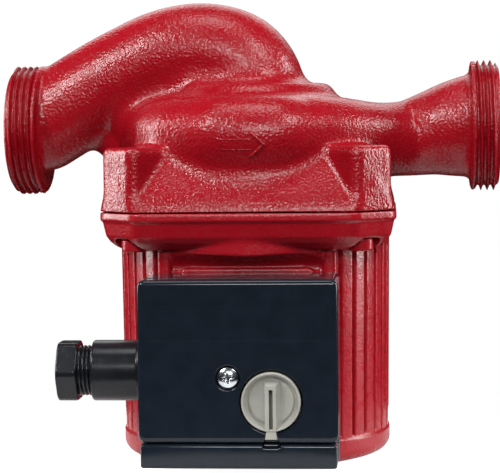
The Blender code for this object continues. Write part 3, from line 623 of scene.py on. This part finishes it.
def motor_housing(material):
    xs = spaced(-FLANGE_HALF - 0.8, FLANGE_HALF + 0.8, 0.5)
    fine_foot, coarse_middle = np.arange(-1, 10.4, 0.5), np.arange(12, 66, 4.5)
    zs = np.concatenate([fine_foot, coarse_middle, np.arange(67.5, JOINT_Z + 0.7, 0.5)])
    grid = Grid(xs, xs, zs)
    grid.add(motor_barrel())
    grid.cut(groove_cuts(), 0.25)
    for side in (-1, 1):
        low, high = (side * RIB_X - RIB_HALF, -42.5, 0), (side * RIB_X + RIB_HALF, -36, SKIRT_LOW + 2)
        grid.add(round_box(low, high, 1.7), 0.6)
    grid.add(skirt(), 1.0)
    grid.cut(bowl_over_flat(), 1.0)
    grid.add(plate((-24, -PAD_FRONT, 6), (24, -FLAT_FRONT + 4, 70.0), 3.0, 0.4), 0.3)
    for x, y in CORNERS:
        centre = (x * SCREW_OFFSET, y * SCREW_OFFSET, 0)
        grid.cut(turned_round(Z, centre, 60, 80.5, POCKET_R, edge=0.6), blend=0.5)
        grid.cut(turned_round(Z, centre, 80, JOINT_Z + 2, SCREW_HOLE_R))
    middle = (0, 0, 0)
    grid.cut(turned_round(Z, middle, 9, JOINT_Z + PAST, MOTOR_BORE_R))
    grid.cut(turned_round(Z, middle, 0, 12, 10.2))
    grid.cut(turned_round(Z, middle, -PAST, 3.8, 40.5), blend=0.3)
    grid.cut(turned_round(Y, CABLE_HOLE, -60, -30, CABLE_HOLE_R))
    for centre in BOX_SCREWS:
        grid.cut(turned_round(Y, centre, -60, -34, BOX_SCREW_R))
    data = skin("motor_casting", grid)
    show("motor_casting", data, material, stands_for=["motor_housing"])


def housing_screws(material):
    for number in range(1, len(CORNERS) + 1):
        low, high = node_box(f"housing_screw_{number}")
        centre = (low + high) / 2
        head = (high[0] - low[0]) / 2
        bottom, top = low[2], low[2] + 4.4
        xs = spaced(centre[0] - head - 0.4, centre[0] + head + 0.4, 0.2)
        ys = spaced(centre[1] - head - 0.4, centre[1] + head + 0.4, 0.2)
        zs = np.concatenate([spaced(bottom - 0.4, top + 0.4, 0.2), spaced(top + 2, high[2] - 1, 3),
                             [high[2], high[2] + 1]])
        grid = Grid(xs, ys, zs)
        grid.add(turned_round(Z, centre, bottom, top, head, 0.7))
        grid.add(turned_round(Z, centre, top - 1, high[2], 2.7))
        grid.cut(hex_bar(Z, centre, bottom - 1, bottom + 2.4, 2.25), 0.2)
        name = f"flange_screw_{number}"
        show(name, skin(name, grid), material, stands_for=[f"housing_screw_{number}"])


# -------------------- terminal box

WALL_BOX = 2.2
SPLIT_Y = -64.6               # the front of the base where the cover covers it
GLAND_HOLE_R = 5.6
NOTCH_BOTTOM, NOTCH_TOP = 11.9, 15.2
TAB_FRONT, TAB_BACK, TAB_HALF = -74.9, -74.3, 2.6
STRIP_TOP = COVER_LOW[2] - 0.35
STRIP_FRONT = 73.5
KNOB_CENTRE = (KNOB_LOW[0] + KNOB_HIGH[0]) / 2
KNOB_R = (KNOB_HIGH[0] - KNOB_LOW[0]) / 2
KNOB_Z = KNOB_HIGH[2] - KNOB_R
SCREW_CENTRE = (SCREW_LOW + SCREW_HIGH) / 2
GLAND_CENTRE = (NUT_LOW + NUT_HIGH) / 2
COLLAR_R = 10.5
PAD_THICKNESS = 1.6


def terminal_base(material):
    """The box's body behind the cover, and the strip under it that comes further forward."""
    low, high = BASE_LOW.copy(), BASE_HIGH.copy()
    low[0] = COVER_LOW[0]
    grid = even_grid((low[0], -STRIP_FRONT, low[2]), high, 0.52)
    grid.add(plate((low[0], SPLIT_Y, low[2]), high, 2.4, 0.5))
    inner_low = (low[0] + WALL_BOX, SPLIT_Y - 4, COVER_LOW[2] + 1.6)
    inner_high = (high[0] - WALL_BOX, high[1] - 2.4, high[2] - WALL_BOX)
    grid.cut(round_box(inner_low, inner_high, 1.2))
    strip_low, strip_high = (low[0] + 0.5, -STRIP_FRONT, low[2]), (high[0] - 0.5, SPLIT_Y + 2, STRIP_TOP)
    grid.add(plate(strip_low, strip_high, 1.0, 1.2), 0.2)
    grid.cut(notch(), 0.2)
    centre = (0, GLAND_CENTRE[1], GLAND_CENTRE[2])
    grid.cut(turned_round(X, centre, -39, low[0] + 5, GLAND_HOLE_R))
    pillar = (SCREW_CENTRE[0], 0, SCREW_CENTRE[2])
    grid.add(turned_round(Y, pillar, -62, high[1] - 1, 3.6), blend=0.5)
    grid.cut(turned_round(Y, pillar, -70, high[1] - 4, 2.1))
    grid.cut(turned_round(Y, CABLE_HOLE, high[1] - 6, high[1] + PAST, CABLE_HOLE_R))
    for centre in BOX_SCREWS:
        grid.cut(turned_round(Y, centre, high[1] - 6, high[1] + PAST, BOX_SCREW_R))
    name = "terminal_box_shell"
    show(name, skin(name, grid), material, stands_for=["terminal_box_base"])


def gland_collar(material):
    """The box's collar for the gland, with the pad that it stands on."""
    centre = (0, GLAND_CENTRE[1], GLAND_CENTRE[2])
    side = COVER_LOW[0]
    reach = np.array((0, 12.4, 12.4))
    box = (np.array((BASE_LOW[0], *centre[1:])) - reach, np.array((side + 0.3, *centre[1:])) + reach)
    grid = even_grid(*box, 0.3)
    grid.add(turned_round(X, centre, side - PAD_THICKNESS, side + 0.3, 12.0, edge=0.4))
    grid.add(turned_round(X, centre, BASE_LOW[0], side, COLLAR_R, edge=0.8), blend=0.3)
    grid.cut(turned_round(X, centre, BASE_LOW[0] - PAST, -38.0, 8.75), blend=0.2)
    grid.cut(turned_round(X, centre, -39, side + 5, GLAND_HOLE_R))
    data = skin("gland_collar", grid)
    show("gland_collar", data, material, stands_for=["terminal_box_base"])


def notch():
    """The gap under the knob's pointer, wider towards the bottom."""
    low, high = (KNOB_CENTRE - 4, -75, NOTCH_BOTTOM - 0.5), (KNOB_CENTRE + 4, -71.4, NOTCH_TOP)

    def distance(x, y, z):
        sides = abs(x - KNOB_CENTRE) - 2.1 - 0.32 * np.clip(15.1 - z, 0, 3)
        return np.maximum(np.maximum(sides, y - high[1]), np.maximum(z - NOTCH_TOP, NOTCH_BOTTOM - z))
    return low, high, distance


def terminal_cover(material):
    """The box's front, hollow behind, with a blank label recess and holes for the knob and the screw."""
    low, high = COVER_LOW, COVER_HIGH
    grid = even_grid(low, high, 0.36)
    grid.add(plate(low, high, 2.4, 1.8))
    inner_low, inner_high = low + WALL_BOX, high - WALL_BOX
    inner_high[1] = high[1] + 3
    grid.cut(round_box(inner_low, inner_high, 1.0))
    label_low, label_high = (-31.4, low[1] - 1, 48.2), (27.8, low[1] + 0.13, 60.5)
    grid.cut(plate(label_low, label_high, 0.8, 0.0), blend=0.12)
    knob, seat = (KNOB_CENTRE, 0, KNOB_Z), (SCREW_CENTRE[0], 0, SCREW_CENTRE[2])
    grid.cut(turned_round(Y, knob, low[1] - PAST, high[1] + PAST, KNOB_R + 0.62), blend=0.25)
    grid.cut(turned_round(Y, seat, low[1] - PAST, low[1] + 1.4, 4.15), blend=0.25)
    grid.cut(turned_round(Y, seat, low[1] - PAST, high[1] + PAST, 2.2))
    grid.cut(notch(), blend=0.25)
    name = "terminal_box_front"
    show(name, skin(name, grid), material, stands_for=["terminal_box_cover"])


def selector_knob(material):
    """The speed selector: rim, dished face, ridge with its slot, and the pointer below the rim."""
    front = -KNOB_LOW[1] - 0.4
    low, high = KNOB_LOW - 0.4, KNOB_HIGH + 0.4
    ys = np.concatenate([spaced(low[1], -front + 4.2, 0.15), spaced(-front + 4.8, -66, 0.6),
                         spaced(-65.5, high[1], 1.2)])
    grid = Grid(spaced(low[0], high[0], 0.15), ys, spaced(low[2], high[2], 0.15))
    centre = (KNOB_CENTRE, 0, KNOB_Z)
    grid.add(turned_round(Y, centre, -front, -66.5, KNOB_R, 0.45))
    grid.cut(turned_round(Y, centre, -front - 0.6, -front + 3.3, KNOB_R - 0.45, 0.1, KNOB_R - 2.0), 0.1)
    grid.add(turned_round(Y, centre, -front + 2.7, -front + 5, KNOB_R - 2.3, 0.4), 0.1)
    grid.add(ridge(front), 0.35)
    grid.add(pointer_tab(front), 0.15)
    slot_low = (KNOB_CENTRE - 0.6, -front - 3, KNOB_Z - KNOB_R + 0.9)
    slot_high = (KNOB_CENTRE + 0.6, -front + 4.6, KNOB_Z + 4.1)
    grid.cut(round_box(np.array(slot_low), np.array(slot_high), 0.12), 0.12)
    grid.add(turned_round(Y, centre, -67, KNOB_HIGH[1], 3.0))
    show("speed_knob", skin("speed_knob", grid), material, SELECTOR, ["selector_knob"])


def ridge(front):
    """The finger ridge across the knob, wider and deeper towards its foot."""
    low = np.array((KNOB_CENTRE - 5, -front - 0.4, KNOB_Z - KNOB_R + 0.3))
    high = np.array((KNOB_CENTRE + 5, -front + 3.6, KNOB_Z + 6.6))

    def distance(x, y, z):
        deep = np.clip(y + front, 0, 3)
        left, right = KNOB_CENTRE - 2.1 - x - 0.05 * deep, x - KNOB_CENTRE - 1.9 - 0.5 * deep
        sides = np.maximum(left, right)
        ends = np.maximum(low[2] - z, z - high[2] + 0.4 * np.clip(2 - deep, 0, 2))
        return blended_max(np.maximum(sides * 0.93, ends), np.maximum(low[1] - y, y - high[1]), 0.35)
    return low, high, distance


def pointer_tab(front):
    """The thin pointer below the knob's rim, wider towards its tip."""
    low = (KNOB_CENTRE - TAB_HALF, TAB_FRONT, KNOB_LOW[2])
    high = (KNOB_CENTRE + TAB_HALF, -front + 1.2, KNOB_Z - KNOB_R + 2)

    def distance(x, y, z):
        sides = abs(x - KNOB_CENTRE) - 1.65 - 0.17 * np.clip(KNOB_Z - KNOB_R - z, 0, 3)
        return blended_max(np.maximum(sides, np.maximum(low[2] - z, z - high[2])),
                           np.maximum(TAB_FRONT - y, y - TAB_BACK), 0.2)
    return low, high, distance


def cover_screw(material):
    """A pan-head screw with a cross recess and small ticks between its arms."""
    head_r = (SCREW_HIGH[0] - SCREW_LOW[0]) / 2
    face, seat = SCREW_LOW[1], SCREW_LOW[1] + 1.6
    centre = (SCREW_CENTRE[0], 0, SCREW_CENTRE[2])
    xs = spaced(SCREW_LOW[0] - 0.3, SCREW_HIGH[0] + 0.3, 0.1)
    zs = spaced(SCREW_LOW[2] - 0.3, SCREW_HIGH[2] + 0.3, 0.1)
    ys = np.concatenate([spaced(face - 0.3, seat + 0.3, 0.1), spaced(seat + 1.5, SCREW_HIGH[1] - 0.5, 2),
                         SCREW_HIGH[1:2], SCREW_HIGH[1:2] + 0.5])
    grid = Grid(xs, ys, zs)
    dome_r = 6.4

    def head(x, y, z):
        across = (x - centre[0]) ** 2
        disc = np.maximum(np.sqrt(across + (z - centre[2]) ** 2) - head_r, y - seat)
        dome = np.sqrt(across + (y - face - dome_r) ** 2 + (z - centre[2]) ** 2) - dome_r
        return blended_max(disc, dome, 0.3)
    grid.add((SCREW_LOW, SCREW_HIGH, head))
    for turn in (8, 98):
        grid.cut(recess_arm(centre, math.radians(turn), 2.0, 0.42, face + 1.3), 0.12)
    for turn in (53, 143):
        grid.cut(recess_arm(centre, math.radians(turn), 1.7, 0.16, face + 0.5), 0.1)
    grid.add(turned_round(Y, centre, seat - 0.5, SCREW_HIGH[1], 1.75))
    show("box_cover_screw", skin("box_cover_screw", grid), material, stands_for=["cover_screw"])


def recess_arm(centre, turn, reach, half_width, floor):
    """One bar of a cross recess, cut in from the front to its floor."""
    low = np.array((centre[0] - reach, floor - 4, centre[2] - reach))
    high = np.array((centre[0] + reach, floor, centre[2] + reach))

    def distance(x, y, z):
        along = (x - centre[0]) * math.cos(turn) + (z - centre[2]) * math.sin(turn)
        aside = (z - centre[2]) * math.cos(turn) - (x - centre[0]) * math.sin(turn)
        taper = 0.5 * np.clip(y - floor + 1.3, 0, 2)
        return np.maximum(np.maximum(abs(along) - reach + taper, abs(aside) - half_width), y - floor)
    return low, high, distance


def gland_nut(material):
    """The gland's hexagon and its threaded neck, with the hole for the cable."""
    low, high = NUT_LOW, NUT_HIGH
    nut_end = low[0] + 7.2
    centre = (0, GLAND_CENTRE[1], GLAND_CENTRE[2])
    reach = np.array((0, 11.8, 11.8))
    box = (np.array((low[0], *centre[1:])) - reach, np.array((high[0], *centre[1:])) + reach)
    grid = even_grid(*box, 0.24)
    flats = hex_bar(X, centre, low[0], nut_end, 9.95, 0.3)
    round_end = turned_round(X, centre, low[0], nut_end, 11.0, edge=1.0)
    grid.add((*flats[:2], lambda x, y, z: blended_max(flats[2](x, y, z), round_end[2](x, y, z), 0.2)))
    pitch, crest = 1.4, 8.7

    def neck(x, y, z):
        dy, dz = y - centre[1], z - centre[2]
        out = np.sqrt(dy * dy + dz * dz)
        phase = (x / pitch - np.arctan2(dz, dy) / math.tau) % 1.0
        ramp = np.clip(1.4 - 2.8 * abs(2 * phase - 1), 0, 1)
        return np.maximum(out - crest + 0.95 * ramp, np.maximum(nut_end - 1 - x, x - high[0])) * 0.8
    grid.add((np.array((nut_end - 1, centre[1] - crest, centre[2] - crest)),
              np.array((high[0], centre[1] + crest, centre[2] + crest)), neck), 0.1)
    grid.cut(turned_round(X, centre, low[0] - 3, high[0] + 3, 5.4), 0.3)
    grid.cut(turned_round(X, centre, low[0] - 3, low[0] + 1.2, 8.4, 0.1, 5.4), 0.2)
    grid.cut(turned_round(X, centre, high[0] - 4.5, high[0] + 3, 6.9))
    data = skin("cable_gland_nut", grid)
    show("cable_gland_nut", data, material, stands_for=["gland_nut"])


# -------------------- materials

COLOUR_A, COLOUR_B, MIXED_COLOUR = 6, 7, 2    # a Mix node's colour sockets, whose names its others share


class Look:
    """A Principled material that gathers its procedural detail: colour variation, roughness and bump."""

    def __init__(self, name, colour, roughness, metallic=0.0, specular=0.5, coat=0.0, coat_roughness=0.1):
        self.material = bpy.data.materials.new(name)
        self.material.use_nodes = True
        self.tree = self.material.node_tree
        self.shader = self.tree.nodes["Principled BSDF"]
        self.colour = colour
        for socket, value in (("Base Color", (*colour, 1)), ("Roughness", roughness), ("Metallic", metallic),
                              ("Specular IOR Level", specular), ("Coat Weight", coat),
                              ("Coat Roughness", coat_roughness)):
            self.shader.inputs[socket].default_value = value
        self.material.diffuse_color = (*colour, 1)
        self.place = self.node("ShaderNodeTexCoord").outputs["Object"]
        self.normal = None

    def node(self, kind, **values):
        made = self.tree.nodes.new(kind)
        for key, value in values.items():
            if key in made.inputs:
                made.inputs[key].default_value = value
            else:
                setattr(made, key, value)
        return made

    def link(self, start, end):
        self.tree.links.new(start, end)

    def noise(self, size_mm, detail=2.0, rough=0.5, stretch=(1, 1, 1)):
        """Noise whose features are about this size, stretched along the axes."""
        mapping = self.node("ShaderNodeMapping")
        mapping.inputs["Scale"].default_value = stretch
        self.link(self.place, mapping.inputs["Vector"])
        noise = self.node("ShaderNodeTexNoise", Scale=1.0 / (size_mm * MM), Detail=detail, Roughness=rough)
        self.link(mapping.outputs["Vector"], noise.inputs["Vector"])
        return noise.outputs["Fac"]

    def spread(self, value, low, high, start=0.3, end=0.7):
        """A noise value stretched so that start to end becomes low to high."""
        ramp = self.node("ShaderNodeMapRange")
        for socket, number in (("From Min", start), ("From Max", end), ("To Min", low), ("To Max", high)):
            ramp.inputs[socket].default_value = number
        self.link(value, ramp.inputs["Value"])
        return ramp.outputs["Result"]

    def mottle(self, value, other):
        """Blend the colour towards another where the value is high."""
        mix = self.node("ShaderNodeMix", data_type="RGBA")
        mix.inputs[COLOUR_A].default_value = (*self.colour, 1)
        mix.inputs[COLOUR_B].default_value = (*other, 1)
        self.link(value, mix.inputs["Factor"])
        self.link(mix.outputs[MIXED_COLOUR], self.shader.inputs["Base Color"])
        return self

    def gloss(self, value):
        self.link(value, self.shader.inputs["Roughness"])
        return self

    def bump(self, value, height_mm, strength=1.0):
        """Lay one more bump over those before it."""
        bump = self.node("ShaderNodeBump", Strength=strength, Distance=height_mm * MM)
        self.link(value, bump.inputs["Height"])
        if self.normal:
            self.link(self.normal, bump.inputs["Normal"])
        self.normal = bump.outputs["Normal"]
        self.link(self.normal, self.shader.inputs["Normal"])
        return self


def painted(name, colour, shadow, grain_mm, grain_height, roughness):
    """Semi-gloss enamel over a casting, with the orange peel of thick paint on a sanded mould's surface."""
    look = Look(name, colour, roughness, specular=0.42, coat=0.05, coat_roughness=0.12)
    look.mottle(look.spread(look.noise(14, 3), 0, 1), shadow)
    look.gloss(look.spread(look.noise(3.5, 2), roughness - 0.05, roughness + 0.07))
    look.bump(look.noise(9, 2), 0.25, 0.6)
    look.bump(look.noise(grain_mm, 1.0, 0.4), grain_height)
    return look.material


def moulded(name, colour, roughness, grain_mm=0.6, grain_height=0.004, specular=0.5, coat=0.0):
    """Moulded or ground material: a faint skin, slow waves in its flat faces and small gloss changes."""
    look = Look(name, colour, roughness, specular=specular, coat=coat, coat_roughness=0.08)
    look.mottle(look.spread(look.noise(7, 3), 0, 1), tuple(c * 1.25 + 0.001 for c in colour))
    look.gloss(look.spread(look.noise(5, 3), roughness * 0.85, roughness * 1.2))
    look.bump(look.noise(22, 1), 0.12, 0.35)
    look.bump(look.noise(grain_mm, 2), grain_height)
    return look.material


def metal(name, colour, roughness, grain_mm=0.5, stretch=(1, 1, 1), height=0.004):
    """Bare metal: fine tool marks along the stretched axis and small changes in colour."""
    look = Look(name, colour, roughness, metallic=1.0)
    look.mottle(look.spread(look.noise(1.6, 3), 0, 1), tuple(c * 0.8 for c in colour))
    look.gloss(look.spread(look.noise(grain_mm, 3, 0.6, stretch), roughness * 0.7, roughness * 1.4))
    look.bump(look.noise(grain_mm, 2, 0.5, stretch), height)
    return look.material


def make_looks():
    """One material for each slot."""
    return {
        "cast_paint": painted("red_cast_enamel", (0.335, 0.004, 0.011), (0.3, 0.0034, 0.0095),
                              0.95, 0.27, 0.25),
        "motor_paint": painted("red_motor_enamel", (0.37, 0.0053, 0.0138), (0.335, 0.0046, 0.0115),
                               0.8, 0.1, 0.28),
        "black_plastic": moulded("black_gloss_plastic", (0.0078, 0.0116, 0.018), 0.1, 0.5, 0.0012, 0.35),
        "gland_plastic": moulded("black_satin_plastic", (0.0085, 0.0095, 0.0125), 0.24, 0.35, 0.003, 0.32),
        "knob_plastic": moulded("warm_grey_plastic", (0.33, 0.325, 0.29), 0.34, 0.4, 0.006),
        "zinc": metal("zinc_plate", (0.72, 0.75, 0.79), 0.2, 0.35),
        "stainless": metal("turned_stainless", (0.6, 0.59, 0.57), 0.25, 0.5, (1, 1, 12)),
        "brass": metal("turned_brass", (0.72, 0.5, 0.2), 0.25, 0.4, (1, 1, 10)),
        "ceramic": moulded("ground_ceramic", (0.78, 0.76, 0.7), 0.25, 0.3, 0.003),
        "carbon": moulded("graphite", (0.03, 0.03, 0.032), 0.45, 0.3, 0.008),
        "lamination": metal("stacked_sheets", (0.24, 0.25, 0.27), 0.4, 0.5, (0.1, 0.1, 1), 0.03),
        "copper": metal("wound_copper", (0.6, 0.25, 0.12), 0.35, 0.8, (0.2, 0.2, 1), 0.1),
        "rubber": moulded("moulded_rubber", (0.012, 0.012, 0.012), 0.6, 0.4, 0.01, 0.3),
        "composite": moulded("glass_filled_plastic", (0.11, 0.12, 0.13), 0.45, 0.5, 0.01),
        "label_foil": metal("brushed_foil", (0.62, 0.63, 0.64), 0.32, 0.4, (20, 1, 1), 0.003),
        "cream_plastic": moulded("cream_plastic", (0.62, 0.58, 0.48), 0.4, 0.5, 0.006),
    }


CARRIED_OVER = {
    "stainless": ["impeller_clamp_ring", "rotor_core", "neck_ring", "bearing_plate", "rotor_can"],
    "ceramic": ["shaft", "upper_bearing", "lower_bearing"],
    "composite": ["impeller", "switch_rotor"],
    "carbon": ["thrust_ring"],
    "brass": ["vent_plug", "earth_screw"],
    "label_foil": ["nameplate", "capacitor"],
    "lamination": ["stator_core"],
    "copper": ["lower_winding", "upper_winding"],
    "rubber": ["housing_gasket", "cover_gasket", "gland_seal"],
    "cream_plastic": ["switch_body", "terminal_block"],
    "zinc": ["gland_washer", "box_screw_1", "box_screw_2", *(f"terminal_screw_{i}" for i in (1, 2, 3))],
}


def finish_cad_nodes(looks):
    """The CAD nodes that still show take the detailed material of their own slot."""
    for slot, names in CARRIED_OVER.items():
        for name in names:
            node = frame["nodes"][name]
            node.data.materials.clear()
            node.data.materials.append(looks[slot])


# -------------------- stage, lights and camera

CAMERA_DISTANCE = 0.66
CAMERA_AZIMUTH = math.radians(4.5)
CAMERA_ELEVATION = math.radians(3.5)
CAMERA_ROLL = math.radians(-0.65)
CAMERA_LENS = 127.1
TARGET_Z = 78.5
TARGET_ASIDE = -2.0
LIGHT_AIM = (0, 0, 85)
FLOOR_R = 0.12
FLOOR_DROP = 0.0004           # metres that the floor lies under the pump
FLOOR_SIDES = 96
FLOOR_GLOW = 0.95             # what the camera sees of the floor's own light, and nothing else does
WORLD_FILL = 0.012            # the world's strength for everything but the camera, which sees white


def towards(azimuth, elevation):
    """The direction from the pump, with the azimuth measured from its front."""
    level = math.cos(elevation)
    return Vector((math.sin(azimuth) * level, -math.cos(azimuth) * level, math.sin(elevation)))


def floor():
    """A pale disc that shows white to the camera."""
    data = bpy.data.meshes.new("studio_floor")
    low_z = float(AXIS[2]) - FLOOR_DROP
    angles = np.linspace(0, math.tau, FLOOR_SIDES, endpoint=False)
    rim = [(FLOOR_R * math.cos(a), FLOOR_R * math.sin(a), low_z) for a in angles]
    data.from_pydata(rim, [], [tuple(range(FLOOR_SIDES))])
    look = Look("pale_floor", (0.86, 0.86, 0.86), 0.8, specular=0.05)
    look.gloss(look.spread(look.noise(30, 2), 0.75, 0.85))
    look.shader.inputs["Emission Color"].default_value = (1, 1, 1, 1)
    glow = look.node("ShaderNodeMath", operation="MULTIPLY")
    glow.inputs[1].default_value = FLOOR_GLOW
    look.link(look.node("ShaderNodeLightPath").outputs["Is Camera Ray"], glow.inputs[0])
    look.link(glow.outputs[0], look.shader.inputs["Emission Strength"])
    data.materials.append(look.material)
    piece = bpy.data.objects.new("studio_floor", data)
    bpy.context.scene.collection.objects.link(piece)


def world():
    """White to the camera, and a faint even fill for everything else."""
    studio = bpy.data.worlds.new("studio")
    bpy.context.scene.world = studio
    studio.use_nodes = True
    nodes, links = studio.node_tree.nodes, studio.node_tree.links
    fill, seen = nodes["Background"], nodes.new("ShaderNodeBackground")
    for shader, strength in ((fill, WORLD_FILL), (seen, 1.0)):
        shader.inputs["Color"].default_value = (1, 1, 1, 1)
        shader.inputs["Strength"].default_value = strength
    path, mix = nodes.new("ShaderNodeLightPath"), nodes.new("ShaderNodeMixShader")
    links.new(path.outputs["Is Camera Ray"], mix.inputs[0])
    links.new(fill.outputs[0], mix.inputs[1])
    links.new(seen.outputs[0], mix.inputs[2])
    links.new(mix.outputs[0], nodes["World Output"].inputs["Surface"])


def softbox(name, azimuth, elevation, distance, width, height, power):
    """A rectangular light that faces the pump, placed like the camera by azimuth and elevation."""
    data = bpy.data.lights.new(name, "AREA")
    data.shape = "RECTANGLE"
    data.size, data.size_y = width, height
    data.energy = power
    light = bpy.data.objects.new(name, data)
    bpy.context.scene.collection.objects.link(light)
    away = towards(math.radians(azimuth), math.radians(elevation))
    light.location = Vector(np.array(LIGHT_AIM) * MM + AXIS) + away * distance
    light.rotation_mode = "QUATERNION"
    light.rotation_quaternion = away.to_track_quat("Z", "Y")


def lights():
    softbox("left_softbox", -42, 36, 0.9, 0.22, 0.22, 4.6)
    softbox("right_softbox", 48, 42, 0.9, 0.26, 0.26, 3.0)
    softbox("front_fill", 6, 19, 1.1, 0.5, 0.14, 4.6)
    softbox("left_edge_light", -98, 14, 0.8, 0.2, 0.6, 5.4)
    softbox("right_edge_light", 100, 14, 0.8, 0.2, 0.6, 5.4)
    softbox("top_softbox", 0, 80, 0.9, 0.4, 0.3, 2.2)
    softbox("back_softbox", 180, 35, 1.2, 1.2, 0.6, 4)


def camera():
    data = bpy.data.cameras.new("camera")
    data.lens = CAMERA_LENS
    data.sensor_width = 36.0
    data.clip_start, data.clip_end = 0.05, 20
    thing = bpy.data.objects.new("camera", data)
    bpy.context.scene.collection.objects.link(thing)
    back = towards(CAMERA_AZIMUTH, CAMERA_ELEVATION)
    right = Vector((math.cos(CAMERA_AZIMUTH), math.sin(CAMERA_AZIMUTH), 0))
    target = Vector(AXIS) + Vector((0, 0, TARGET_Z * MM)) + right * TARGET_ASIDE * MM
    thing.location = target + back * CAMERA_DISTANCE
    thing.rotation_mode = "QUATERNION"
    thing.rotation_quaternion = (-back).to_track_quat("-Z", "Y") @ Quaternion((0, 0, 1), CAMERA_ROLL)
    bpy.context.scene.camera = thing


# -------------------- the whole scene

looks = make_looks()
finish_cad_nodes(looks)
housing = pump_housing(looks["cast_paint"])
port_threads(looks["cast_paint"])
flow_arrow(housing, looks["cast_paint"])
motor_housing(looks["motor_paint"])
housing_screws(looks["motor_paint"])
terminal_base(looks["black_plastic"])
gland_collar(looks["gland_plastic"])
terminal_cover(looks["black_plastic"])
selector_knob(looks["knob_plastic"])
cover_screw(looks["zinc"])
gland_nut(looks["gland_plastic"])
floor()
world()
lights()
camera()
bpy.context.scene.view_settings.view_transform = "Standard"
